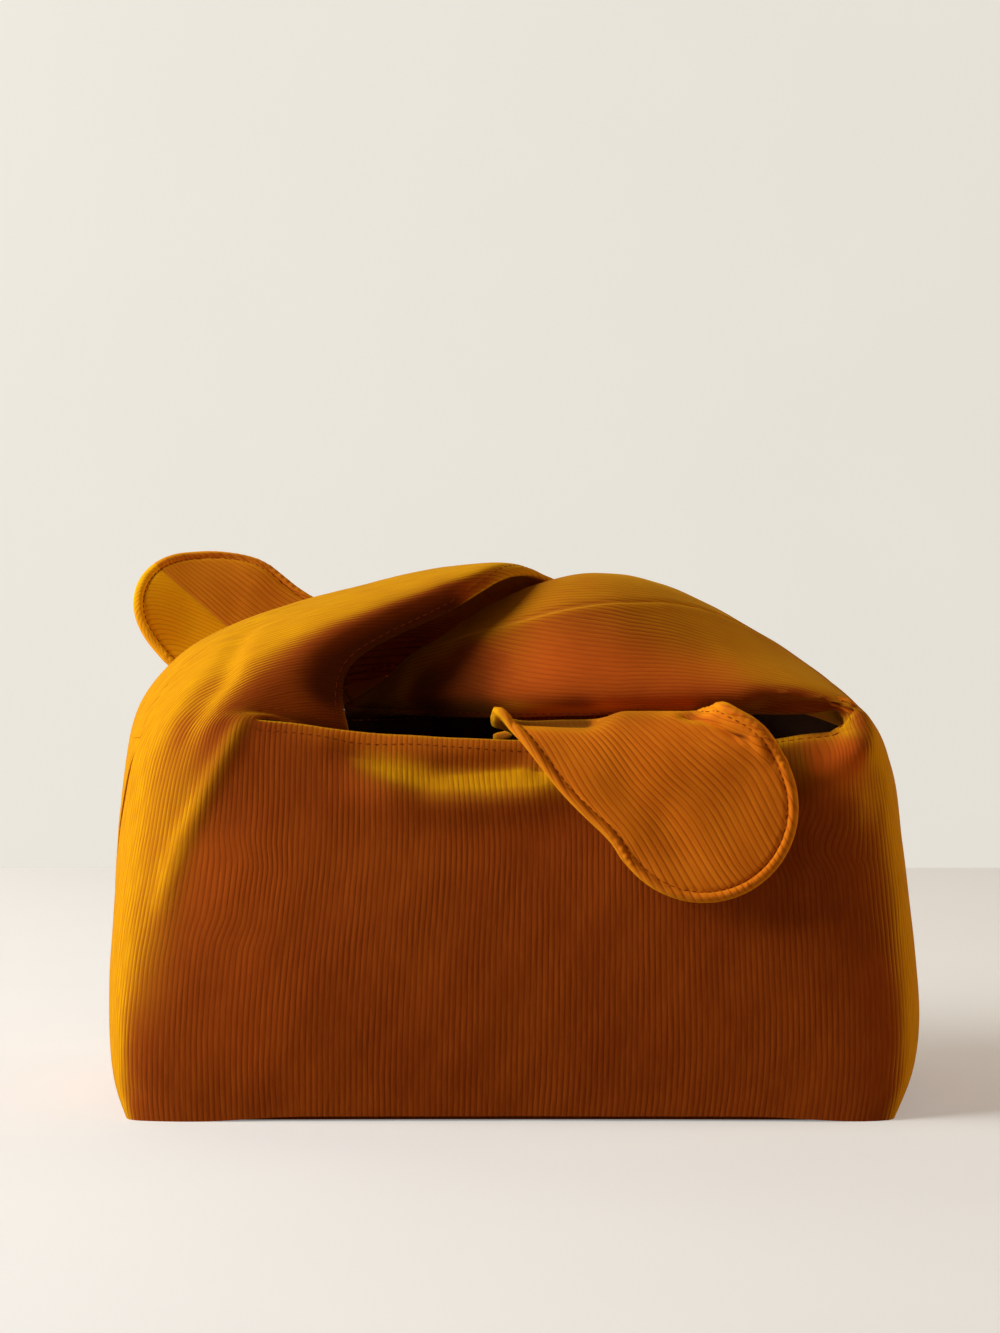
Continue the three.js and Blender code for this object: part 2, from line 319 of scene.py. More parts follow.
LEFT_TIE = TieForm(
    stations=(
        ((-52, -46, 127), (-91, -61, 151), (-134, 2, 148), (-100, 53, 141), (-83, 56, 139), 0.20),
        ((-58, -45, 139), (-76, -57, 161), (-114, 6, 166), (-86, 51, 150), (-74, 51, 144), 0.20),
        ((-60, -42, 157), (-58, -51, 172), (-82, 8, 177), (-70, 50, 160), (-62, 53, 149), 0.20),
        ((-37, -37, 168), (-35, -44, 180), (-50, 10, 185), (-50, 52, 165), (-46, 56, 153), 0.15),
        ((-15, -30, 177), (-13, -33, 189), (-21, 14, 191), (-28, 56, 165), (-28, 58, 155), 0.12),
        ((5, -15, 193), (4, -10, 196), (2, 24, 188), (-10, 55, 161), (-14, 56, 155), 0.05),
        ((29, 34, 178), (26, 37, 175), (17, 46, 162), (3, 52, 148), (-3, 52, 144), 0),
        ((61, 45, 161), (55, 47, 160), (36, 49, 144), (9, 47, 134), (1, 46, 133), 0),
        ((77, 38, 126), (71, 39, 124), (40, 38, 116), (9, 33, 115), (1, 31, 117), 0),
        ((86, 10, 113), (78, 8, 110), (40, 6, 110), (5, 4, 112), (-3, 4, 114), 0),
        ((78, -24, 120), (72, -26, 118), (35, -26, 118), (2, -26, 119), (-5, -26, 121), 0),
        ((66, -47, 137), (60, -47, 137), (29.5, -47, 137), (-1, -47, 137), (-7, -47, 137), 0),
        ((66, -60.8, 139.3), (60, -61.8, 140.3), (29.5, -62, 142), (-1, -62, 142), (-7, -62, 142), 0),
        ((77, -75, 145), (70, -71, 141), (42, -70, 134), (9, -70, 134), (3, -70, 134), 0),
        ((85, -77, 140), (79, -75, 135), (54, -75, 120), (26, -72, 112), (18, -70, 113), 0),
    ),
    end=RoundEnd(
        centre=(66, -75, 109.5),
        along=(0.52, -0.05, -0.85),
        across=(-0.85, 0.04, -0.52),
        radius=33,
        rows=((-8, 0.15), (-3.5, 0.5), (-0.5, 0.85), (0, 1)),
    ),
    columns=(4, 3, 2, 1, 0, 23, 22, 21, 20),
    front_rim=5,
    back_rim=19,
    outward=-1,
    crease_row=13,
    part_row=11.6,
    seam_lean=((0, 1.35), (1, 1.2), (2, 1.1), (3, 0.9), (4, 0.5), (5, 0.2), (6, 0)),
    rib_shift=(
        ((0, 0), (0.7, 1.5), (1.5, 7), (2.5, 16), (3.5, 22), (4.5, 25), (6, 27)),
        ((0, 0), (9, 0)),
    ),
    facing_fan=((0, 1), (11.5, 1), (13, 0.96), (15, 0.84), (22, 0.8)),
)
RIGHT_TIE = TieForm(
    stations=(
        ((116, -50, 139), (114, -58, 148), (119, 2, 148), (104, 56, 146), (86, 54, 148), 0.22),
        ((95, -46, 139), (92, -60, 149), (99, 0, 162), (88, 52, 158), (78, 48, 156), 0.22),
        ((66, -44, 139), (64, -60, 146), (72, -6, 177), (64, 44, 172), (58, 36, 167), 0.22),
        ((38, -42, 139), (36, -58, 144), (44, -27, 183), (38, 14, 189), (36, 18, 181), 0.20),
        ((10, -36, 138), (8, -51, 143), (14, -36, 176), (10, -8, 187), (10, -3, 181), 0.18),
        ((-16, -24, 136), (-18, -36, 145), (-14, -24, 165), (-14, 0, 174), (-14, 5, 170), 0.1),
        ((-44, -6, 137), (-44, -16, 144), (-38, 2, 160), (-26, 24, 163), (-22, 28, 160), 0),
        ((-62, 28, 130), (-59, 24, 135), (-46, 37, 147), (-28, 49, 150), (-24, 52, 149), 0),
        (
            (-66.3, 58, 145), (-63.5, 59.3, 144.8), (-44.5, 67.5, 145), (-25, 75.7, 146.7), (-22, 77, 147),
            0,
        ),
        ((-89, 71, 149), (-86, 72.3, 149.4), (-66.5, 80.5, 152), (-47, 88.7, 154.6), (-44, 90, 155), 0),
    ),
    end=RoundEnd(
        centre=(-99, 68, 156),
        along=(-0.745, 0.163, 0.647),
        across=(0.56, 0.72, 0.41),
        radius=34,
        rows=((0, 0), (10, 0.5), (17, 0.85), (19, 1)),
    ),
    columns=(8, 9, 10, 11, 12, 13, 14, 15, 16),
    front_rim=7,
    back_rim=17,
    outward=1,
    crease_row=9,
    part_row=8.3,
    seam_lean=((0, 0), (2, 0), (3, 0.1), (4, 0.25), (5, 0), (6, -0.2), (7, 0)),
    rib_shift=(
        ((0, 0), (1, -2), (2, -6), (3, -12), (4, -23), (5, -39), (6, -55), (8.5, -50), (14, 0)),
        ((0, 0), (1, -1), (2, -3), (3, -6), (4, -11), (5, -22), (6, -32), (10, -32)),
    ),
)
SEAM_COLUMN = 4
LAST_COLUMN = 8
RIM_ROW = 5
RING_COLUMNS = 24


def mirrored(end: Array, inner: Array) -> Array:
    """The guard stations past an end: the inner stations mirrored in it."""
    return 2 * end - inner


class BagSurface:
    """The nets of the body and of both ties, with cloth coordinates.

    Across the cloth, a coordinate runs from the left seam over the front to the right seam
    and on. Along the cloth it rises from the foot, and on into the ties.
    """

    def __init__(self) -> None:
        """Builds the three nets from their forms."""
        rings = self._with_pattern(BodyForm().rings())
        self.around = rings[-1, -1, 3]
        self.left = self._tie_net(LEFT_TIE, rings, middle=0.0, sign=-1)
        self.right = self._tie_net(RIGHT_TIE, rings, middle=rings[-1, 12, 3], sign=1)
        rings = rings[:, :-1]
        foot = mirrored(rings[0], rings[1])
        above = mirrored(rings[-1], rings[-2])
        for tie, form in ((self.left, LEFT_TIE), (self.right, RIGHT_TIE)):
            above[list(form.columns)] = tie.stations[2, 1:-1]
            above[form.front_rim] = tie.stations[2, 0]
            above[form.back_rim] = tie.stations[2, -1]
        past = RING_COLUMNS // 2 + 1
        above[past:, 3] += np.where(above[past:, 3] < self.around / 2, self.around, 0)
        net = np.concatenate([foot[None], rings, above[None]])
        turn = np.array([0, 0, 0, self.around, 0])
        net = np.concatenate([net[:, -1:] - turn, net, net[:, :1] + turn, net[:, 1:2] + turn], 1)
        self.body = SmoothNet(net, 1)

    @staticmethod
    def _with_pattern(rings: Array) -> Array:
        """Adds cloth coordinates to the rings, closed by a copy of the first column."""
        closed = np.concatenate([rings, rings[:, :1]], 1)
        step = np.linalg.norm(np.diff(closed, axis=1), axis=-1)
        half = RING_COLUMNS // 2
        run = np.zeros(closed.shape[:2])
        rim = step[-1]
        for start in (0, half):
            part = slice(start, start + half)
            share = np.cumsum(step[:, part], 1) / step[:, part].sum(1, keepdims=True)
            run[:, start + 1 : start + half + 1] = run[:, start : start + 1] + share * rim[part].sum()
        rise = np.linalg.norm(np.diff(closed, axis=0), axis=-1).mean(1)
        along = np.concatenate([[0], np.cumsum(rise)])[:, None] + 0 * run
        return np.concatenate([closed, run[..., None], along[..., None]], -1)

    def _tie_net(self, form: TieForm, rings: Array, middle: float, sign: int) -> SmoothNet:
        """The net of one tie, whose first rows are the body's last two rings.

        Args:
            form: The tie's stations.
            rings: The body's rings with cloth coordinates.
            middle: The cloth coordinate of the tie's middle seam.
            sign: Which way the coordinate grows from the front edge to the back edge.

        Returns:
            The tie's net.
        """
        columns = list(form.columns)
        roots = rings[-2:, columns].copy()
        if sign < 0:
            roots[..., 3] -= np.where(np.array(columns) > RING_COLUMNS // 2, self.around, 0)
        places, aside = form.rows()
        rise = np.linalg.norm(np.diff(np.concatenate([roots[1:, :, :3], places]), axis=0), axis=-1)
        along = roots[1, 0, 4] + np.cumsum(rise.mean(1))
        pattern = np.stack([middle + sign * aside, along[:, None] + 0 * aside], -1)
        rows = np.concatenate([roots, np.concatenate([places, pattern], -1)])
        rows = np.concatenate([rows, mirrored(rows[-1], rows[-2])[None]])
        before = mirrored(rows[:, 0], rows[:, 1])
        after = mirrored(rows[:, -1], rows[:, -2])
        for guard, column in ((before, form.front_rim), (after, form.back_rim)):
            guard[:2] = rings[-2:, column]
            if sign < 0 and column > RING_COLUMNS // 2:
                guard[:2, 3] -= self.around
        return SmoothNet(np.concatenate([before[:, None], rows, after[:, None]], 1), form.outward)


# Folds pressed and pulled into the cloth


def bell(point: Array, line: tuple, width: float, ease: float) -> Array:
    """A bell curve of the distance from a line, eased in and out at the line's ends.

    Args:
        point: Places on the cloth.
        line: The line's stops.
        width: The distance at which the curve has fallen to 1/e.
        ease: The share of the line's length over which it rises and falls.

    Returns:
        Values from 0 to 1, in the shape of the places.
    """
    stops = np.array(line, float)
    spans = np.diff(stops, axis=0)
    lengths = np.linalg.norm(spans, axis=1)
    starts = np.concatenate([[0], np.cumsum(lengths)[:-1]])
    best = np.full(point.shape[:-1], FAR)
    share = np.zeros(point.shape[:-1])
    for a, span, length, start in zip(stops, spans, lengths, starts):
        t = np.clip(((point - a) @ span) / length**2, 0, 1)
        gap = np.linalg.norm(point - (a + t[..., None] * span), axis=-1)
        nearer = gap < best
        best = np.where(nearer, gap, best)
        share = np.where(nearer, (start + t * length) / lengths.sum(), share)
    ends = smooth_step(np.minimum(share, 1 - share) / ease)
    return ends * np.exp(-((best / width) ** 2))


@dataclass(frozen=True)
class Fold:
    """A soft ridge or valley of the cloth along a line, in millimetres."""

    line: tuple
    width: float
    height: float
    ease: float = 0.3
    nets: str = "body left right"

    def lift(self, point: Array) -> Array:
        """The fold's height times its bell curve."""
        return self.height * bell(point, self.line, self.width, self.ease)

    def move(self, point: Array, normal: Array) -> Array:
        """The cloth's move, which is the lift along the outward normal."""
        return self.lift(point)[..., None] * normal


@dataclass(frozen=True)
class Pull:
    """Cloth pulled along a fixed way near a line, in millimetres."""

    line: tuple
    width: float
    way: tuple
    ease: float = 0.3
    nets: str = "body left right"

    def move(self, point: Array, normal: Array) -> Array:
        """The way times the bell curve of the distance from the line."""
        share = bell(point, self.line, self.width, self.ease)
        return share[..., None] * np.array(self.way) + 0 * normal


@dataclass(frozen=True)
class Ripple:
    """A slow unevenness of the hand-pressed cloth: a few crossed waves."""

    height: float = 0.3
    waves: tuple = (
        (41, (0.9, 0.3, 0.4), 0.3),
        (33, (-0.5, 0.8, 0.5), 1.9),
        (23, (0.3, -0.4, 0.9), 4.1),
        (17, (0.8, 0.5, -0.4), 2.6),
    )
    nets: str = "body left right"

    def move(self, point: Array, normal: Array) -> Array:
        """The sum of sines of the place along each wave's direction, over its length."""
        total = np.zeros(point.shape[:-1])
        for length, direction, start in self.waves:
            total += np.sin(point @ unit(np.array(direction)) * 2 * math.pi / length + start)
        return (self.height * total / len(self.waves))[..., None] * normal


PROBE_STEP = 0.4


def lifted(samples: Samples, folds: list) -> tuple[Array, Array]:
    """Cloth after its folds.

    The normal is worked out anew from two short steps along the moved cloth.

    Args:
        samples: The smooth cloth.
        folds: Folds, pulls and ripples, each with a move method.

    Returns:
        The moved places and their normals.
    """

    def moved(point: Array) -> Array:
        return point + sum(fold.move(point, samples.normal) for fold in folds)

    probe = PROBE_STEP
    across = unit(np.cross(samples.normal, samples.along_u))
    here = moved(samples.point)
    step_u = moved(samples.point + probe * samples.along_u) - here
    step_w = moved(samples.point + probe * across) - here
    return here, unit(np.cross(step_u, step_w))


# Free edges and seams


MEASURED_AT_ONCE = 4000


@dataclass
class Line:
    """A line on the cloth from which seams and edges are measured, in millimetres."""

    points: Array
    start: float = 0.0

    def measure(self, point: Array) -> tuple[Array, Array]:
        """Distance from the line and run along it.

        Args:
            point: Places on the cloth, in any shape.

        Returns:
            The distances and the runs, in the shape of the places.
        """
        a, span = self.points[:-1], np.diff(self.points, axis=0)
        length = np.linalg.norm(span, axis=1)
        run = self.start + np.concatenate([[0], np.cumsum(length)[:-1]])
        flat = point.reshape(-1, 3)
        distance, along = np.empty(len(flat)), np.empty(len(flat))
        for first in range(0, len(flat), MEASURED_AT_ONCE):
            batch = slice(first, first + MEASURED_AT_ONCE)
            some = flat[batch, None]
            t = np.einsum("nsk,sk->ns", some - a, span) / (length**2 + 1e-12)
            t = np.clip(t, 0, 1)
            gap = np.linalg.norm(some - (a + t[..., None] * span), axis=-1)
            best = gap.argmin(1)
            every = np.arange(len(best))
            distance[batch] = gap[every, best]
            along[batch] = run[best] + t[every, best] * length[best]
        return distance.reshape(point.shape[:-1]), along.reshape(point.shape[:-1])


def smooth_step(x: Array) -> Array:
    """A ramp from 0 to 1 with level ends."""
    x = np.clip(x, 0, 1)
    return x * x * (3 - 2 * x)


def sandwich_half(edge: Array, edge_run: Array, seam: Array, relief: Array) -> Array:
    """Half the thickness of the sewn cloth.

    It rounds to nothing at the free edge as a quarter circle, swells over the turned seam
    allowance, dips at the stitching, with a pucker at each stitch, and dips at a seam
    between two low pads.

    Args:
        edge: Distance from the free edge.
        edge_run: Run along the free edge.
        seam: Distance from the middle or side seam.
        relief: How much of the edge's ridge and stitching shows.

    Returns:
        The half thickness in millimetres.
    """
    c = CLOTH
    near = np.clip(edge / c.edge_radius, 0, 1)
    body = c.half_thickness * np.sqrt(1 - (1 - near) ** 2)
    pucker = 1 + 0.3 * np.cos(edge_run * 2 * math.pi / c.stitch_pitch)
    pucker = pucker + 0.25 * np.sin(edge_run / 4.7) * np.sin(edge_run / 2.9 + 1)
    ridge = c.ridge_height * np.exp(-(((edge - c.ridge_place) / c.ridge_width) ** 2)) * pucker
    ridge = ridge * near
    groove = c.stitch_groove * np.exp(-(((edge - c.stitch_inset) / c.stitch_groove_width) ** 2))
    groove = groove * (1 + 0.25 * np.cos(edge_run * 2 * math.pi / c.stitch_pitch))
    pad = c.seam_pad * np.exp(-(((seam - c.seam_pad_width) / c.seam_pad_width) ** 2))
    split = c.seam_groove * np.exp(-((seam / c.seam_groove_width) ** 2))
    away = smooth_step(edge / 4)
    return np.maximum(body + (ridge - groove) * relief + (pad - split) * away, 0)


# Patches of cloth


@dataclass
class Patch:
    """A grid of the cloth's middle surface with all that the pieces are made from."""

    middle: Array
    normal: Array
    pattern: Array
    shift: Array
    facing_shift: Array
    relief: Array
    edge: Array
    edge_run: Array
    seam: Array
    lie: Array
    brushed: Array
    warmed: Array

    def part(self, rows: slice, columns: slice) -> "Patch":
        """A smaller patch out of this one."""
        return Patch(*(getattr(self, name)[rows, columns] for name in self.__dataclass_fields__))

    def face(self, side: Side) -> Array:
        """The shown face of the outer cloth or of the facing."""
        seam = self.seam if side is Side.OUTER else np.full_like(self.seam, NO_SEAM)
        half = sandwich_half(self.edge, self.edge_run, seam, self.relief)
        return self.middle + self.normal * (side.value * half)[..., None]

    def back(self, side: Side) -> Array:
        """The hidden face of the outer cloth or of the facing, near the middle surface."""
        gap = CLOTH.layer_gap * np.clip(self.edge / 0.5, 0, 1)
        return self.middle + self.normal * (side.value * gap)[..., None]


def spread(net: SmoothNet, v: Array, start: Array, stop: Array, count: int, dense: bool) -> Array:
    """Columns across each row, evenly spaced on the cloth and closer at its two ends.

    Args:
        net: The surface.
        v: The rows.
        start: The first column of each row.
        stop: The last column of each row.
        count: How many columns lie between the close ones.
        dense: Whether the ends hold the close columns of edges and seams.

    Returns:
        A column coordinate for each row and column.
    """
    fine = np.linspace(0, 1, ROW_SAMPLES)
    u = start[:, None] + (stop - start)[:, None] * fine
    point = net.sample(v[:, None] + 0 * u, u).point
    run = np.concatenate(
        [np.zeros((len(v), 1)), np.cumsum(np.linalg.norm(np.diff(point, axis=1), axis=-1), 1)], 1
    )
    near_edge = np.array(EDGE_STEPS)
    near_seam = np.array(SEAM_STEPS)
    even = np.linspace(0, 1, count + 1)
    result = np.empty((len(v), len(near_edge) + len(near_seam) + count - 1 if dense else count + 1))
    for row in range(len(v)):
        total = run[row, -1]
        if dense:
            inner = near_edge[-1] + (total - near_edge[-1] - near_seam[-1]) * even
            wanted = np.concatenate([near_edge[:-1], inner, total - near_seam[-2::-1]])
        else:
            wanted = total * even
        result[row] = np.interp(wanted, run[row], u[row])
    return result


EDGE_STEPS = (0, 0.14, 0.38, 0.72, 1.1, 1.6, 2.2, 2.8, 3.2, 3.5, 3.8, 4.1, 4.5, 5.2, 6.4)
SEAM_STEPS = (0, 0.3, 0.65, 1.1, 1.8, 2.8, 4.2)
ROW_SAMPLES, RUN_SAMPLES = 161, 800


def row_lines(net: SmoothNet, start: float, stop: float, ends: bool, step: float) -> Array:
    """Rows evenly spaced along the middle of a tie, and closer at its rounded end."""
    fine = np.linspace(start, stop, RUN_SAMPLES)
    middle = net.sample(fine, np.full_like(fine, SEAM_COLUMN)).point
    run = np.concatenate([[0], np.cumsum(np.linalg.norm(np.diff(middle, axis=0), axis=1))])
    total = run[-1]
    if ends:
        close = np.array(EDGE_STEPS)
        wanted = np.linspace(0, total - close[-1], max(2, round(total / step)))
        wanted = np.concatenate([wanted[:-1], total - close[::-1]])
    else:
        wanted = np.linspace(0, total, max(2, round(total / step)) + 1)
    rows = np.interp(wanted, run, fine)
    rows[0], rows[-1] = start, stop
    return rows


def seam_drift(height: Array) -> Array:
    """How far the left side seam leans to the front at each row of the body, in columns."""
    return np.interp(height, *np.array(BODY_SEAM_LEAN).T)


BODY_SEAM_LEAN = ((0, 0), (1.5, 0.1), (3, 0.55), (4, 1.1), (5, 1.35))


TIE_COLUMNS = 26
TIE_STEP_PAST_CREASE = 0.75
BODY_ROWS = 62
BODY_COLUMNS = 92
EDGE_SAMPLES, TIP_SAMPLES, RIM_SAMPLES = 900, 160, 200
RIM_OVERLAP, TIE_OVERLAP = 40, 60
RIM_RELIEF = 0.1
RELIEF_STOPS = ((0, RIM_RELIEF), (5, RIM_RELIEF), (8, 1))
RIM_ROW_HEIGHT = 27.0
FOOT_LIFT = 1.7
FOOT_MIDDLE, FOOT_REACH, FOOT_FADE, FOOT_HEIGHT = 6, 116, 40, 30


class BagCloth:
    """All patches of the bag's cloth, and the pieces cut from them."""

    def __init__(self, surface: BagSurface, folds: tuple) -> None:
        """Lays out the patches of both halves."""
        self.surface = surface
        self.folds = folds
        self.nets = {"left": surface.left, "right": surface.right}
        self.forms = {"left": LEFT_TIE, "right": RIGHT_TIE}
        self.root_columns: dict = {}
        self.part_index: dict = {}
        self.edges = {half: self._edge_lines(half) for half in Half}
        self.ties = {
            (name, half): self._tie_patch(name, half) for name in self.nets for half in Half
        }
        self.body = {half: self._body_patch(half) for half in Half}

    def _points(self, net: SmoothNet, v: Array, u: Array) -> Array:
        """Places on the folded cloth's middle surface."""
        place, normal = lifted(net.sample(v, u), self.folds_of(net))
        return place - normal * CLOTH.middle_depth

    def folds_of(self, net: SmoothNet) -> list:
        """The folds that act on one net."""
        name = "body" if net is self.surface.body else "left" if net is self.surface.left else "right"
        return [fold for fold in self.folds if name in fold.nets.split()]

    def _edge_lines(self, half: Half) -> dict:
        """The free edges of one half: one line from tie end to tie end over the rim."""
        column = 0.0 if half is Half.FRONT else float(LAST_COLUMN)
        lines = {}
        for name, net in self.nets.items():
            last = net.stations.shape[0] - 3
            v = np.linspace(0, last, EDGE_SAMPLES)
            side = self._points(net, v, np.full_like(v, column))
            u = np.linspace(column, SEAM_COLUMN, TIP_SAMPLES)[1:]
            tip = self._points(net, np.full_like(u, last), u)
            lines[name] = np.concatenate([side, tip])
        rim_from, rim_to = (4, 8) if half is Half.FRONT else (16, 20)
        u = np.linspace(rim_from, rim_to, RIM_SAMPLES)
        rim = self._points(self.surface.body, np.full_like(u, RIM_ROW), u)
        first, last = ("left", "right") if half is Half.FRONT else ("right", "left")
        ends = [lines[name][:TIE_OVERLAP] for name in (first, last)]
        return {
            first: Line(np.concatenate([lines[first][::-1], rim[1:RIM_OVERLAP]])),
            last: Line(np.concatenate([rim[-RIM_OVERLAP:-1], lines[last]])),
            "rim": Line(np.concatenate([ends[0][::-1], rim[1:-1], ends[1]])),
        }

    def _finish(self, net: SmoothNet, v: Array, u: Array, edge: Line, seam: Line) -> Patch:
        """Samples a patch and measures it from its free edge and its seam."""
        samples = net.sample(v, u)
        place, normal = lifted(samples, self.folds_of(net))
        middle = place - normal * CLOTH.middle_depth
        distance, run = edge.measure(middle)
        seam_distance, _ = seam.measure(middle)
        pattern = samples.pattern.copy()
        pattern[..., 0] += sum(pull.lift(samples.point) for pull in RIB_PULLS)
        relief = np.full_like(run, RIM_RELIEF)
        lie = samples.along_v[..., 0]
        # Painted light and shade: a positive value raises the golden painted sheen, a negative one paints
        # shade.
        brushed = sum(patch.lift(samples.point) for patch in PAINTED_LIGHT_AND_SHADE)
        # Painted light: patches painted a brighter orange.
        warmed = sum(patch.lift(samples.point) for patch in PAINTED_LIT_PATCHES)
        rest = (relief, distance, run, seam_distance, lie, brushed, warmed)
        return Patch(middle, normal, pattern, 0 * run, 0 * run, *rest)

    def _tie_patch(self, name: str, half: Half) -> Patch:
        """One half of a tie, from its free edge to its middle seam."""
        net, form = self.nets[name], self.forms[name]
        last = net.stations.shape[0] - 3
        before = row_lines(net, 0, form.part_row, False, CLOTH.grid_step)
        after = row_lines(net, form.part_row, last, True, CLOTH.grid_step * TIE_STEP_PAST_CREASE)
        v = np.concatenate([before, after[1:]])
        edge_column = 0.0 if half is Half.FRONT else float(LAST_COLUMN)
        seam_column = SEAM_COLUMN - np.interp(v, *np.array(form.seam_lean).T)
        u = spread(net, v, edge_column + 0 * v, seam_column, TIE_COLUMNS, True)
        seam = Line(self._points(net, v, seam_column))
        patch = self._finish(net, v[:, None] + 0 * u, u, self.edges[half][name], seam)
        patch.edge[:, 0] = 0
        patch.edge[-1] = 0
        shift = np.interp(v, *np.array(form.rib_shift[half.value]).T)
        across = 1 if name == "right" else -1
        patch.shift = across * shift[:, None] + 0 * u
        fan = np.interp(v, *np.array(form.facing_fan).T)[:, None]
        centre = patch.pattern[:, -1:, 0]
        patch.facing_shift = (fan - 1) * (patch.pattern[..., 0] - centre)
        patch.relief[:] = np.interp(v, *np.array(RELIEF_STOPS).T)[:, None]
        self.root_columns[name, half] = u[0]
        self.part_index[name] = len(before) - 1
        return patch

    def _body_patch(self, half: Half) -> Patch:
        """The front or the back of the body, whose top columns are the ties' own."""
        net = self.surface.body
        rim_step = np.array(EDGE_STEPS) / RIM_ROW_HEIGHT
        lower = np.linspace(0, RIM_ROW - rim_step[-1], BODY_ROWS)
        v = np.concatenate([lower[:-1], RIM_ROW - rim_step[::-1]])
        if half is Half.FRONT:
            begin = 4 - self.root_columns["left", half][::-1]
            finish = 8 + self.root_columns["right", half]
        else:
            begin = 8 + self.root_columns["right", half][::-1]
            finish = 28 - self.root_columns["left", half]
        free = np.linspace(begin[-1], finish[0], BODY_COLUMNS)[1:-1]
        top = np.concatenate([begin, free, finish])
        lean = (seam_drift(v) - seam_drift(np.array(RIM_ROW)))[:, None]
        share = np.clip(1 - top / 4, 0, 1) + np.clip((top - 20) / 4, 0, None)
        weight = share / (1 - seam_drift(np.array(RIM_ROW)) / 4 * np.where(top < 12, 1, -1))
        u = top + lean * weight
        seams = [u[:, 0], u[:, -1]]
        lines = [Line(self._points(net, v, column)) for column in seams]
        patch = self._finish(net, v[:, None] + 0 * u, u, self.edges[half]["rim"], lines[0])
        other, _ = lines[1].measure(patch.middle)
        patch.seam = np.minimum(patch.seam, other)
        free_columns = (top >= begin[-1] - 1e-9) & (top <= finish[0] + 1e-9)
        patch.edge[-1, free_columns] = 0
        if half is Half.FRONT:
            aside = np.abs(patch.middle[..., 0] - FOOT_MIDDLE)
            middle = np.clip((FOOT_REACH - aside) / FOOT_FADE, 0, 1)
            low = np.clip(1 - patch.middle[..., 2] / FOOT_HEIGHT, 0, 1)
            patch.middle[..., 2] += FOOT_LIFT * smooth_step(middle) * low
        return patch


# Meshes


def make_mesh(name: str, places: Array, quads: Array, uv: Array, marks: dict) -> bpy.types.Object:
    """Makes an object from whole arrays.

    Args:
        name: The object's name.
        places: Places of the vertices in millimetres.
        quads: Four vertex numbers a face, the last two alike for a triangle.
        uv: The cloth coordinates of the vertices in metres.
        marks: Named values of the vertices, kept as attributes.

    Returns:
        The linked object.
    """
    mesh = bpy.data.meshes.new(name)
    faces = [tuple(dict.fromkeys(q)) for q in quads.tolist()]
    mesh.from_pydata((places * MM).tolist(), [], [f for f in faces if len(f) > 2])
    layer = mesh.uv_layers.new(name="cloth")
    corner = np.empty(len(mesh.loops), np.int32)
    mesh.loops.foreach_get("vertex_index", corner)
    layer.data.foreach_set("uv", uv[corner].astype(np.float32).ravel())
    for key, values in marks.items():
        attribute = mesh.attributes.new(key, "FLOAT", "POINT")
        attribute.data.foreach_set("value", values.astype(np.float32))
    mesh.shade_smooth()
    mesh.set_sharp_from_angle(angle=math.radians(62))
    piece = bpy.data.objects.new(name, mesh)
    bpy.context.scene.collection.objects.link(piece)
    return piece


def grid_quads(rows: int, columns: int, first: int) -> Array:
    """Faces of a grid of vertices, numbered row by row from the first."""
    a = (np.arange(rows - 1)[:, None] * columns + np.arange(columns - 1)).ravel() + first
    return np.stack([a, a + 1, a + columns + 1, a + columns], 1)


MARKS = {
    "edge_mm": "edge",
    "seam_mm": "seam",
    "edge_relief": "relief",
    "pile_lie": "lie",
    "brushed": "brushed",
    "warmed": "warmed",
}


def flattened(grids: list) -> Array:
    """The values of several grids one after another, without the grids' rows and columns."""
    return np.concatenate([g.reshape(-1, *g.shape[2:]) for g in grids])


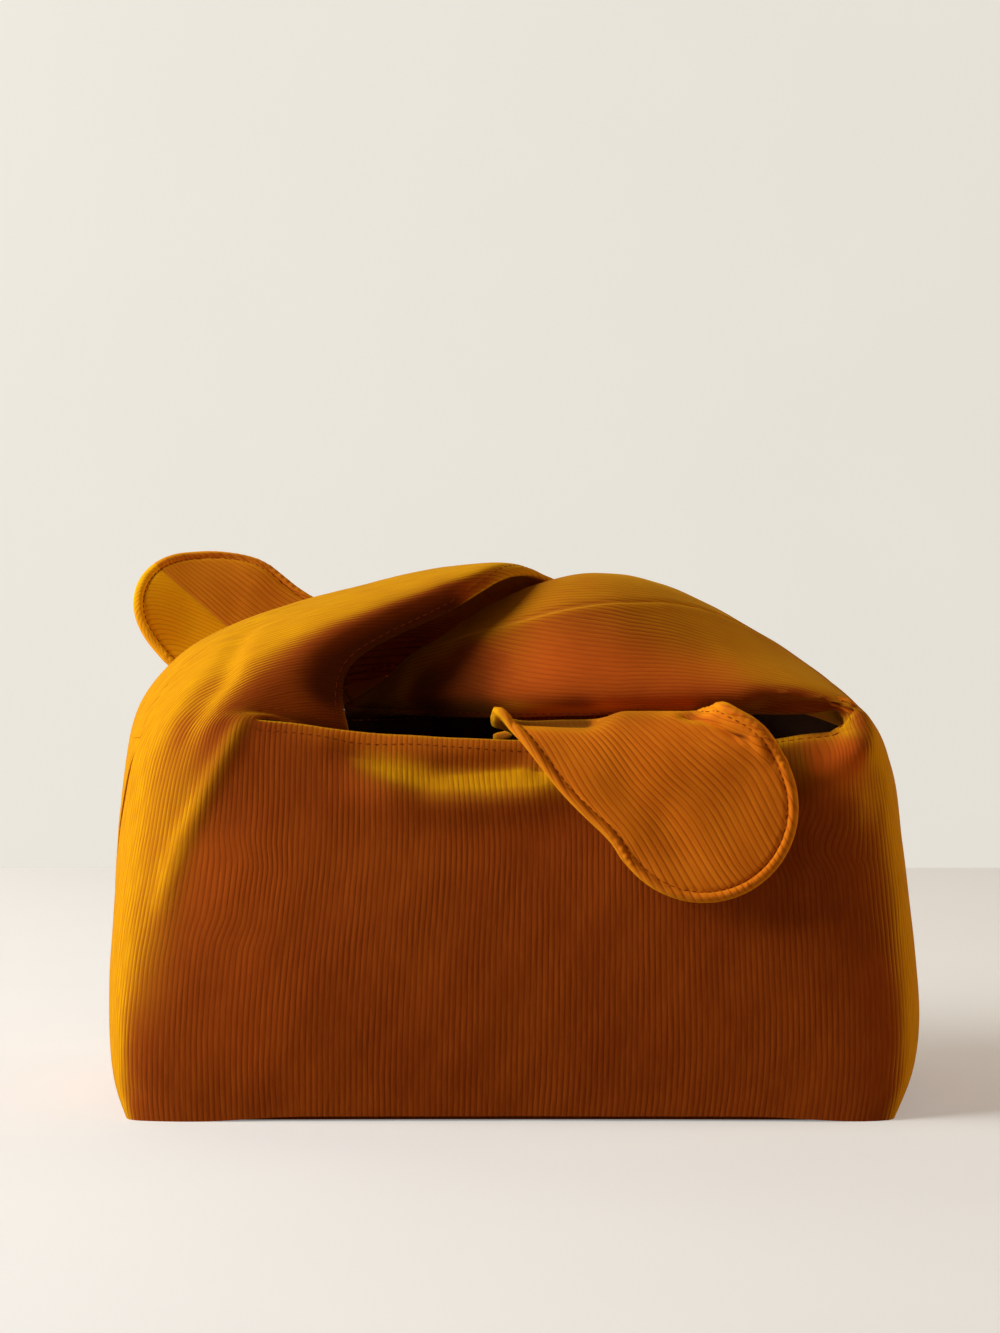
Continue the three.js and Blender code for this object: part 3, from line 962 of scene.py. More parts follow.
def sewn(name: str, patches: list, side: Side) -> bpy.types.Object:
    """Joins patches into one closed layer of cloth.

    Vertices that lie together are merged, the hidden face is the shown one's copy near the
    middle surface, and the two are joined along every open border.

    Args:
        name: The piece's name.
        patches: Its patches.
        side: Which layer of the sandwich it is.

    Returns:
        The object.
    """
    shown = flattened([p.face(side) for p in patches])
    hidden = flattened([p.back(side) for p in patches])
    pattern = flattened([p.pattern for p in patches])
    pattern[:, 0] += flattened([p.shift if side is Side.OUTER else p.facing_shift for p in patches])
    marks = {key: flattened([getattr(p, name) for p in patches]) for key, name in MARKS.items()}
    if side is Side.FACING:
        marks["seam_mm"] = np.full_like(marks["seam_mm"], NO_SEAM)
    quads, first = [], 0
    for p in patches:
        rows, columns = p.edge.shape
        faces = grid_quads(rows, columns, first)
        a, b, c, d = (shown[faces[len(faces) // 2, k]] for k in range(4))
        outward = np.dot(np.cross(c - a, d - b), p.normal[rows // 2, columns // 2]) > 0
        if outward is not np.bool_(side is Side.OUTER):
            faces = faces[:, ::-1]
        quads.append(faces)
        first += rows * columns
    quads = np.concatenate(quads)
    _, keep, merged = np.unique(np.round(shown, 3), axis=0, return_index=True, return_inverse=True)
    quads = merged.ravel()[quads]
    count = len(keep)
    shown, hidden = shown[keep], hidden[keep]
    edges = np.concatenate([quads[:, [0, 1]], quads[:, [1, 2]], quads[:, [2, 3]], quads[:, [3, 0]]])
    edges = edges[edges[:, 0] != edges[:, 1]]
    code = edges[:, 0].astype(np.int64) * count + edges[:, 1]
    twin = edges[:, 1].astype(np.int64) * count + edges[:, 0]
    border = edges[~np.isin(code, twin)]
    same = np.linalg.norm(shown - hidden, axis=1) < 0.004
    inner = np.where(same, np.arange(count), np.arange(count) + count)
    strip = np.stack([border[:, 1], border[:, 0], inner[border[:, 0]], inner[border[:, 1]]], 1)
    distinct = np.array([len(set(f)) for f in strip.tolist()])
    faces = np.concatenate([quads, inner[quads[:, ::-1]], strip[distinct > 2]])
    used, faces = np.unique(faces, return_inverse=True)
    faces = faces.reshape(-1, 4)
    places = np.concatenate([shown, hidden])[used]
    uv = np.concatenate([pattern[keep], pattern[keep]])[used] * MM
    marks = {key: np.tile(values[keep], 2)[used] for key, values in marks.items()}
    return make_mesh(name, places, faces, uv, marks)


@dataclass(frozen=True)
class EdgeStitching:
    """The sewing thread along the free edges: one short sunken capsule a stitch."""

    radius: float = 0.19
    length: float = 2.1
    rise: float = 0.08
    sink: float = 0.22
    sides: int = 6
    rings: tuple = ((0.0, 0.4), (0.14, 0.85), (0.5, 1.0), (0.86, 0.85), (1.0, 0.4))

    @staticmethod
    def line(patch: Patch, side: Side) -> Array:
        """The stitching line on a face of the cloth.

        It is where the distance from the free edge equals the stitches' inset. The places
        are found between neighbouring vertices along both ways of the grid, and lie in the
        order of the run along the edge.

        Args:
            patch: The cloth.
            side: The face.

        Returns:
            Rows of a place, an outward direction and a run.
        """
        table = np.concatenate(
            [patch.face(side), side.value * patch.normal, patch.edge_run[..., None]], -1
        )
        away = patch.edge - CLOTH.stitch_inset
        found = []
        for values, gap in ((table, away), (table.swapaxes(0, 1), away.T)):
            crossed = gap[:, :-1] * gap[:, 1:] < 0
            share = (gap[:, :-1] / (gap[:, :-1] - gap[:, 1:] + 1e-12))[crossed][:, None]
            found.append(values[:, :-1][crossed] * (1 - share) + values[:, 1:][crossed] * share)
        rows = np.concatenate(found)
        return rows[np.argsort(rows[:, 6])]

    def build(self, name: str, patches: list, sides: tuple) -> bpy.types.Object:
        """Makes the stitches of several patches as one object.

        A stitch's centre line dips at both ends by the square of its way from the middle.
        """
        places, uv = [], []
        share, width = np.array(self.rings).T
        turn = np.arange(self.sides) * 2 * math.pi / self.sides
        for patch, side in ((p, s) for p in patches for s in sides):
            rows = self.line(patch, side)
            if len(rows) < 4:
                continue
            middle = np.arange(rows[0, 6] + 1, rows[-1, 6] - 1, CLOTH.stitch_pitch)
            run = middle[:, None] + (share - 0.5) * self.length
            along = np.stack([np.interp(run, rows[:, 6], rows[:, k]) for k in range(6)], -1)
            centre, out = along[..., :3], unit(along[..., 3:])
            dip = self.rise - self.sink * (2 * share - 1) ** 2
            centre = centre + out * dip[:, None]
            forward = unit(centre[:, -1:] - centre[:, :1]) + 0 * centre
            aside = unit(np.cross(forward, out))
            up = np.cross(aside, forward)
            ring = np.cos(turn)[:, None] * aside[:, :, None] + np.sin(turn)[:, None] * up[:, :, None]
            skin = centre[:, :, None] + ring * (self.radius * width)[:, None, None]
            places.append(skin.reshape(-1, 3))
            around = np.broadcast_to(turn * self.radius, ring.shape[:-1])
            uv.append(np.stack([around, run[..., None] + 0 * around], -1).reshape(-1, 2))
        places, uv = np.concatenate(places), np.concatenate(uv)
        block = len(self.rings) * self.sides
        first = np.arange(0, len(places), block)[:, None, None]
        ring_first = (np.arange(len(self.rings) - 1) * self.sides)[:, None]
        k = np.arange(self.sides)
        a, b = first + ring_first + k, first + ring_first + (k + 1) % self.sides
        walls = np.stack([a, b, b + self.sides, a + self.sides], -1).reshape(-1, 4)
        start = np.array([[3, 2, 1, 0], [5, 4, 3, 0]])
        stop = start[:, ::-1] + block - self.sides
        caps = (np.concatenate([start, stop]) + first).reshape(-1, 4)
        quads = np.concatenate([walls, caps])
        return make_mesh(name, places, quads, uv * MM, {})


@dataclass(frozen=True)
class BasePlate:
    """A flat layer of cloth of the base: an outline round the foot with rounded edges."""

    name: str
    bottom: float
    thickness: float
    inset: float
    shares: tuple = (0, 0.2, 0.4, 0.6, 0.8, 0.93)

    def build(self, body: SmoothNet) -> bpy.types.Object:
        """Makes the layer.

        Its profile runs from the middle of the underside to the edge, round the edge in a
        half circle, and back over the top. It is carried round the foot's outline, with
        each point drawn towards the middle by its share.
        """
        u = np.linspace(0, RING_COLUMNS, 241)[:-1]
        foot = body.sample(0 * u, u)
        inward = -unit(foot.normal[:, :2])
        turn = np.linspace(-math.pi / 2, math.pi / 2, 7)
        radius = self.thickness / 2
        inner = np.array(self.shares)
        share = np.concatenate([inner, 1 + 0 * turn, inner[::-1]])[:, None, None]
        inset = np.concatenate([radius + 0 * inner, radius * (1 - np.cos(turn)), radius + 0 * inner])
        z = np.concatenate([0 * inner, radius * (1 + np.sin(turn)), self.thickness + 0 * inner])
        flat = (foot.point[:, :2] + inward * (self.inset + inset)[:, None, None]) * share
        height = self.bottom + z[:, None, None] + 0 * flat[..., :1]
        places = np.concatenate([flat, height], -1)
        places = np.concatenate([places, places[:, :1]], 1)
        rows, columns = places.shape[:2]
        quads = grid_quads(rows, columns, 0)[:, ::-1]
        places = places.reshape(-1, 3)
        _, keep, merged = np.unique(np.round(places, 4), axis=0, return_index=True, return_inverse=True)
        away = NO_SEAM + 0 * keep
        marks = {"edge_mm": away, "seam_mm": away}
        return make_mesh(self.name, places[keep], merged.ravel()[quads], places[keep, :2] * MM, marks)


# Finishes


class Nodes:
    """A short hand for building shader nodes in a tree."""

    def __init__(self, tree: bpy.types.NodeTree) -> None:
        """Keeps the tree."""
        self.tree = tree

    def add(self, kind: str, settings: dict | None = None, **inputs: object) -> bpy.types.Node:
        """Adds a node, sets its settings, and fills or links its inputs by name."""
        node = self.tree.nodes.new(kind)
        for key, value in (settings or {}).items():
            setattr(node, key, value)
        for key, value in inputs.items():
            self.put(node.inputs[key.replace("_", " ")], value)
        return node

    def put(self, socket: bpy.types.NodeSocket, value: object) -> None:
        """Links an output to a socket or sets the socket's value."""
        if isinstance(value, bpy.types.NodeSocket):
            self.tree.links.new(value, socket)
        elif socket.type == "RGBA" and len(value) == 3:
            socket.default_value = (*value, 1)
        else:
            socket.default_value = value

    def math(self, operation: str, *values: object) -> bpy.types.NodeSocket:
        """A Math node of one to three values."""
        node = self.tree.nodes.new("ShaderNodeMath")
        node.operation = operation
        for socket, value in zip(node.inputs, values):
            self.put(socket, value)
        return node.outputs[0]

    def ramp(self, value: object, low: float, high: float, start: float, stop: float) -> object:
        """A smooth map of a value from one range to another."""
        node = self.add("ShaderNodeMapRange", {"interpolation_type": "SMOOTHSTEP"})
        for key, number in zip(
            ("Value", "From Min", "From Max", "To Min", "To Max"), (value, low, high, start, stop)
        ):
            self.put(node.inputs[key], number)
        return node.outputs["Result"]

    def mark(self, name: str) -> bpy.types.NodeSocket:
        """A named value of the mesh's vertices."""
        return self.add("ShaderNodeAttribute", {"attribute_name": name}).outputs["Fac"]

    def cloth_place(self) -> tuple[bpy.types.NodeSocket, bpy.types.NodeSocket]:
        """The cloth coordinates across and along."""
        uv = self.add("ShaderNodeUVMap", {"uv_map": "cloth"}).outputs[0]
        split = self.add("ShaderNodeSeparateXYZ", Vector=uv)
        return split.outputs[0], split.outputs[1]

    def wave(self, value: object, pitch: float) -> bpy.types.NodeSocket:
        """The size of the sine of a value, one hump a pitch."""
        turned = self.math("MULTIPLY", value, math.pi / pitch)
        return self.math("ABSOLUTE", self.math("SINE", turned))

    def bump(self, height: object, strength: float, distance: float) -> bpy.types.NodeSocket:
        """A normal tilted by a height."""
        return self.add("ShaderNodeBump", Strength=strength, Distance=distance, Height=height).outputs[0]

    def show(self, surface: bpy.types.NodeSocket) -> None:
        """Makes a shader the material's surface."""
        self.add("ShaderNodeOutputMaterial", Surface=surface)

    def mix(self, share: object, first: object, second: object) -> bpy.types.NodeSocket:
        """A mix of two colours."""
        node = self.add("ShaderNodeMix", {"data_type": "RGBA"})
        colours = [s for s in node.inputs if s.type == "RGBA"]
        self.put(node.inputs[0], share)
        self.put(colours[0], first)
        self.put(colours[1], second)
        return [s for s in node.outputs if s.type == "RGBA"][0]


def new_material(name: str) -> tuple[bpy.types.Material, Nodes]:
    """An empty material with its node short hand."""
    made = bpy.data.materials.new(name)
    made.use_nodes = True
    made.node_tree.nodes.clear()
    return made, Nodes(made.node_tree)


def matt_shader(
    n: Nodes, colour: object, normal: object, roughness: float, specular: float
) -> bpy.types.Node:
    """Shows a matt Principled surface and returns its node."""
    shader = n.add("ShaderNodeBsdfPrincipled", Roughness=roughness, Normal=normal)
    n.put(shader.inputs["Base Color"], colour)
    shader.inputs["Specular IOR Level"].default_value = specular
    n.show(shader.outputs[0])
    return shader


def new_group(name: str, inputs: dict, outputs: dict) -> tuple[bpy.types.NodeTree, Nodes, dict]:
    """Starts a shader node group.

    Args:
        name: The group's name.
        inputs: Input names with their default numbers or colours.
        outputs: Output names with their socket types.

    Returns:
        The group, its node short hand, and its input sockets by name.
    """
    group = bpy.data.node_groups.new(name, "ShaderNodeTree")
    for key, value in inputs.items():
        kind = "NodeSocketFloat" if isinstance(value, (int, float)) else (
            "NodeSocketColor" if len(value) == 4 else "NodeSocketVector"
        )
        socket = group.interface.new_socket(key, in_out="INPUT", socket_type=kind)
        socket.default_value = value
    for key, kind in outputs.items():
        group.interface.new_socket(key, in_out="OUTPUT", socket_type=kind)
    nodes = Nodes(group)
    entry = group.nodes.new("NodeGroupInput")
    return group, nodes, {s.name: s for s in entry.outputs if s.name}


def rib_group() -> bpy.types.NodeTree:
    """The ribs of corduroy: round ridges of pile with narrow valleys between them.

    The cloth coordinate across the ribs, over the pitch and a little wavy, gives a phase.
    A ridge's height is the half sine of the phase, sharpened, plus fine pile. The colour mixes valley,
    pile and tip, with streaks along each rib and slow blotches. A second colour is a golden painted
    sheen, which the material mixes in where the cloth is seen at a slant.

    Returns:
        The node group.
    """
    group, n, given = new_group(
        "corduroy_ribs",
        {
            "Pitch": 0.0019,
            "Pile": (0.3, 0.07, 0.008, 1),
            "Tip": (0.45, 0.12, 0.012, 1),
            "Valley": (0.08, 0.015, 0.002, 1),
            "Wear_and_highlight": (0.6, 0.25, 0.05, 1),
            "Painted_sheen": (0.5, 0.2, 0.01, 1),
        },
        {"Color": "NodeSocketColor", "Painted_sheen": "NodeSocketColor", "Height": "NodeSocketFloat"},
    )
    across, along = n.cloth_place()

    def noise(scale_across: float, scale_along: float, detail: float = 2.0) -> object:
        spot = n.add("ShaderNodeCombineXYZ")
        n.put(spot.inputs[0], n.math("MULTIPLY", across, scale_across))
        n.put(spot.inputs[1], n.math("MULTIPLY", along, scale_along))
        made = n.add("ShaderNodeTexNoise", {"noise_dimensions": "2D"}, Scale=1.0, Detail=detail)
        n.put(made.inputs["Vector"], spot.outputs[0])
        return made.outputs["Fac"]

    sway = n.math("MULTIPLY_ADD", noise(45, 28), 0.0012, -0.0006)
    phase = n.math("DIVIDE", n.math("ADD", across, sway), given["Pitch"])
    wave = n.math("ABSOLUTE", n.math("SINE", n.math("MULTIPLY", phase, math.pi)))
    ridge = n.math("POWER", wave, 0.7)
    pile = noise(4200, 1500, 3.0)
    flecks = noise(900, 90, 3.0)
    crushed = n.ramp(noise(70, 38, 3.0), 0.38, 0.68, 0.55, 1.0)
    height = n.math("MULTIPLY", n.math("MULTIPLY_ADD", flecks, 0.3, ridge), crushed)
    height = n.math("MULTIPLY_ADD", pile, 0.08, height)
    # The valley colour, darker than the pile, is partly painted shade in the grooves between the ribs.
    valley = n.ramp(n.math("MULTIPLY_ADD", pile, 0.2, wave), 0.1, 0.72, 0, 1)
    valley = n.math("MAXIMUM", valley, n.math("MULTIPLY_ADD", crushed, -1.15, 1.05))
    streak = n.ramp(flecks, 0.3, 0.74, 0, 1)
    blotch = n.ramp(noise(26, 17, 3.0), 0.3, 0.7, -0.22, 0.25)
    lit = n.math("ADD", n.math("MULTIPLY", streak, 0.6), blotch)
    lit = n.math("MULTIPLY_ADD", pile, 0.3, lit)
    colour = n.mix(lit, given["Pile"], given["Tip"])
    colour = n.mix(valley, given["Valley"], colour)
    edge, relief, seam = (n.mark(key) for key in ("edge_mm", "edge_relief", "seam_mm"))
    # Lighter colour along the free edges is wear; the lighter line along the seams is a painted highlight
    # where the seam's ridge catches the light.
    frayed = n.ramp(pile, 0.3, 0.7, 0.6, 1.0)
    rubbed = n.math("MULTIPLY", n.ramp(edge, 0.4, 2.6, 0.5, 0.0), relief)
    wear_and_highlight = n.math("MAXIMUM", rubbed, n.ramp(seam, 0.2, 1.3, 0.75, 0.0))
    wear_and_highlight = n.math("MULTIPLY", wear_and_highlight, frayed)
    colour = n.mix(wear_and_highlight, colour, given["Wear_and_highlight"])
    # Painted sheen: the golden colour that stands in for the pile's sheen at a slant.
    dulled = n.mix(n.math("MULTIPLY", streak, 0.35), given["Painted_sheen"], given["Tip"])
    painted_sheen = n.mix(n.ramp(valley, 0.0, 1.0, 0.5, 0.0), dulled, given["Pile"])
    out = group.nodes.new("NodeGroupOutput")
    n.put(out.inputs["Color"], colour)
    n.put(out.inputs["Painted_sheen"], painted_sheen)
    n.put(out.inputs["Height"], height)
    return group


@dataclass(frozen=True)
class Corduroy:
    """Fine-wale corduroy with a velvety pile, red brown, with a golden painted sheen where it is seen at a
    slant.
    """

    name: str
    pile: tuple = (0.280, 0.0460, 0.0036)
    tip: tuple = (0.375, 0.0730, 0.0052)
    valley: tuple = (0.246, 0.0390, 0.0030)
    wear_and_highlight: tuple = (0.640, 0.2300, 0.0120)
    painted_sheen: tuple = (0.700, 0.3250, 0.0012)
    root: tuple = (0.050, 0.0066, 0.0007)
    painted_lit_colour: tuple = (0.660, 0.1120, 0.0090)
    painted_sheen_start: float = 0.10
    painted_sheen_full: float = 0.52
    painted_sheen_share: float = 0.95
    against: float = 0.5
    sheen: float = 0.24
    sheen_tint: tuple = (1.0, 0.62, 0.012)
    rib_height: float = 0.00012

    def material(self) -> bpy.types.Material:
        """The material, built on the shared rib group."""
        made, n = new_material(self.name)
        ribs = n.add("ShaderNodeGroup", {"node_tree": bpy.data.node_groups["corduroy_ribs"]})
        for key in ("pile", "tip", "valley", "wear_and_highlight", "painted_sheen"):
            ribs.inputs[key.capitalize()].default_value = (*getattr(self, key), 1)
        ribs.inputs["Pitch"].default_value = CLOTH.rib_pitch * MM
        glance = n.add("ShaderNodeLayerWeight", Blend=0.5).outputs["Facing"]
        flat = n.ramp(glance, 0.2, 0.6, 1.0, 0.35)
        ridged = n.bump(n.math("MULTIPLY", ribs.outputs["Height"], flat), 1.0, self.rib_height)
        # Painted sheen: the golden colour is mixed in by how far the cloth is seen at a slant, less where
        # the cloth runs leftwards along its length.
        slant = n.add("ShaderNodeLayerWeight", Blend=0.5, Normal=ridged).outputs["Facing"]
        share = n.ramp(slant, self.painted_sheen_start, self.painted_sheen_full, 0, self.painted_sheen_share)
        share = n.math("MULTIPLY", share, n.ramp(n.mark("pile_lie"), -0.8, 0.0, self.against, 1.0))
        # Painted light: a positive mask raises the golden painted sheen.
        brushed = n.mark("brushed")
        share = n.math("MINIMUM", n.math("ADD", share, brushed), self.painted_sheen_share)
        colour = n.mix(n.math("MAXIMUM", share, 0.0), ribs.outputs["Color"], ribs.outputs["Painted_sheen"])
        ridge = n.ramp(ribs.outputs["Height"], 0.1, 0.9, 0.6, 1.0)
        # Painted light: a brighter orange painted on the rib tops where the patches lie.
        colour = n.mix(n.math("MULTIPLY", n.mark("warmed"), ridge), colour, self.painted_lit_colour)
        # Painted shade: the colour darkens where the mask is negative, in hollows, under the ties' folds
        # and in the tab's slit.
        colour = n.mix(n.ramp(brushed, -1.0, 0.0, 0.85, 0.0), colour, self.root)
        shader = matt_shader(n, colour, ridged, 0.92, 0.05)
        shader.inputs["Sheen Weight"].default_value = self.sheen
        shader.inputs["Sheen Roughness"].default_value = 0.4
        shader.inputs["Sheen Tint"].default_value = (*self.sheen_tint, 1)
        return made


@dataclass(frozen=True)
class Twill:
    """Plain matt lining cloth with a fine diagonal weave."""

    name: str
    dark: tuple = (0.050, 0.016, 0.005)
    light: tuple = (0.085, 0.030, 0.009)
    pitch: float = 0.0007

    def material(self) -> bpy.types.Material:
        """The material: crossed waves of the object's place make the weave."""
        made, n = new_material(self.name)
        across, along = n.cloth_place()
        thread = n.wave(n.math("ADD", across, along), self.pitch)
        cross = n.math("SINE", n.math("MULTIPLY", across, math.pi / self.pitch * 2))
        weave = n.math("MULTIPLY_ADD", cross, 0.25, thread)
        colour = n.mix(n.ramp(weave, 0.1, 1.0, 0, 1), self.dark, self.light)
        matt_shader(n, colour, n.bump(weave, 0.7, 0.00015), 0.85, 0.2)
        return made


@dataclass(frozen=True)
class Thread:
    """Twisted sewing thread, a little lighter than the cloth."""

    name: str
    dark: tuple = (0.170, 0.0280, 0.0022)
    light: tuple = (0.330, 0.0720, 0.0060)
    twist: float = 0.0005

    def material(self) -> bpy.types.Material:
        """The material: a slanted wave round and along the thread makes the twist."""
        made, n = new_material(self.name)
        ply = n.wave(n.math("ADD", *n.cloth_place()), self.twist)
        colour = n.mix(n.ramp(ply, 0.0, 0.9, 0, 1), self.dark, self.light)
        matt_shader(n, colour, n.bump(ply, 0.6, 0.00008), 0.6, 0.05)
        return made


@dataclass(frozen=True)
class SheetBoard:
    """Matt grey board with a faint grain of pressed fibres."""

    name: str
    dark: tuple = (0.250, 0.235, 0.195)
    light: tuple = (0.340, 0.320, 0.270)

    def material(self) -> bpy.types.Material:
        """The material: long and fine noise of the object's place makes the fibres."""
        made, n = new_material(self.name)
        place = n.add("ShaderNodeTexCoord").outputs["Object"]
        stretch = n.add("ShaderNodeMapping", Vector=place)
        stretch.inputs["Scale"].default_value = (300, 1500, 1500)
        fibre = n.add("ShaderNodeTexNoise", Scale=1.0, Detail=3.0, Vector=stretch.outputs[0])
        colour = n.mix(fibre.outputs["Fac"], self.dark, self.light)
        matt_shader(n, colour, n.bump(fibre.outputs["Fac"], 0.5, 0.0001), 0.8, 0.5)
        return made


# Studio


@dataclass(frozen=True)
class Paint:
    """Matt pale studio paint, which the camera sees pale and which throws little light back.

    A share of what the camera sees is plain glow, so that the backdrop stays even. From
    behind, the camera sees through it.
    """

    name: str
    colour: tuple
    thrown: tuple
    glow: float

    def material(self) -> bpy.types.Material:
        """The material, with a faint mottle in its colour."""
        made, n = new_material(self.name)
        path = n.add("ShaderNodeLightPath").outputs
        seen = n.math("MAXIMUM", path["Is Camera Ray"], path["Is Glossy Ray"])
        seen = n.math("MAXIMUM", seen, path["Is Transmission Ray"])
        place = n.add("ShaderNodeTexCoord").outputs["Object"]
        mottle = n.add("ShaderNodeTexNoise", Scale=9.0, Detail=2.0, Vector=place)
        shade = tuple(0.97 * c for c in self.colour)
        pale = n.mix(mottle.outputs["Fac"], shade, self.colour)
        shader = n.add("ShaderNodeBsdfPrincipled", Roughness=0.9)
        n.put(shader.inputs["Base Color"], n.mix(seen, self.thrown, pale))
        shader.inputs["Specular IOR Level"].default_value = 0.1
        glow = n.add("ShaderNodeEmission", Strength=1.0, Color=pale)
        mixed = n.add("ShaderNodeMixShader")
        n.put(mixed.inputs[0], n.math("MULTIPLY", seen, self.glow))
        n.put(mixed.inputs[1], shader.outputs[0])
        n.put(mixed.inputs[2], glow.outputs[0])
        behind = n.add("ShaderNodeNewGeometry").outputs["Backfacing"]
        clear = n.add("ShaderNodeMixShader")
        n.put(clear.inputs[0], n.math("MULTIPLY", behind, path["Is Camera Ray"]))
        n.put(clear.inputs[1], mixed.outputs[0])
        n.put(clear.inputs[2], n.add("ShaderNodeBsdfTransparent").outputs[0])
        n.show(clear.outputs[0])
        return made


@dataclass(frozen=True)
class Studio:
    """A pale floor and wall, a soft key light from the upper left, and the camera."""

    floor: Paint = Paint("floor_paint", (0.905, 0.905, 0.885), (0.40, 0.35, 0.28), 0.28)
    wall: Paint = Paint("wall_paint", (0.860, 0.835, 0.765), (0.55, 0.50, 0.43), 0.78)
    wall_back: float = 0.648
    eye: tuple = (-0.0035, -1.143, 0.2215)
    eye_down: float = math.atan((666.5 - 480) / 3147)
    lens: float = 85.0
    key_power: float = 47.0
    key_colour: tuple = (1.0, 0.995, 0.985)
    lamp_size: float = 1.05
    key_place: tuple = (-1.62, -0.38, 0.92)
    card_power: float = 11.0
    card_place: tuple = (1.75, 0.22, 0.6)
    card_colour: tuple = (1.0, 0.70, 0.42)
    aimed_at: tuple = (0, 0, 0.08)
    fill: float = 0.14
    fill_colour: tuple = (1, 0.74, 0.46, 1)

    def sheet(self, name: str, corners: tuple, paint: Paint) -> None:
        """A flat pale surface of the studio."""
        mesh = bpy.data.meshes.new(name)
        mesh.from_pydata(corners, [], [(0, 1, 2, 3)])
        stage = bpy.data.objects.new(name, mesh)
        stage.data.materials.append(paint.material())
        bpy.context.scene.collection.objects.link(stage)

    def lamp(self, name: str, place: tuple, power: float, colour: tuple) -> None:
        """A soft round lamp that points at the middle of the bag."""
        light = bpy.data.lights.new(name, "AREA")
        light.shape = "DISK"
        light.size = self.lamp_size
        light.energy = power
        light.color = colour
        lamp = bpy.data.objects.new(name, light)
        lamp.location = place
        aim = unit(np.array(self.aimed_at) - np.array(place))
        lamp.rotation_euler = Vector(aim).to_track_quat("-Z", "Y").to_euler()
        bpy.context.scene.collection.objects.link(lamp)

    def build(self) -> None:
        """Makes the floor, the wall, the lights and the camera."""
        b = self.wall_back
        self.sheet("studio_floor", ((-3, -3, 0), (3, -3, 0), (3, b, 0), (-3, b, 0)), self.floor)
        self.sheet("studio_wall", ((-3, b, 0), (3, b, 0), (3, b, 3), (-3, b, 3)), self.wall)
        self.lamp("window_light", self.key_place, self.key_power, self.key_colour)
        self.lamp("card_light", self.card_place, self.card_power, self.card_colour)
        world = bpy.data.worlds.new("studio_air")
        world.use_nodes = True
        air = world.node_tree.nodes["Background"].inputs
        air["Color"].default_value = self.fill_colour
        air["Strength"].default_value = self.fill
        bpy.context.scene.world = world
        camera = bpy.data.cameras.new("camera")
        camera.lens = self.lens
        camera.sensor_width = 36
        eye = bpy.data.objects.new("camera", camera)
        eye.location = self.eye
        eye.rotation_euler = (math.pi / 2 - self.eye_down, 0, 0)
        bpy.context.scene.collection.objects.link(eye)
        bpy.context.scene.camera = eye
        bpy.context.scene.view_settings.view_transform = "Standard"


# The bag


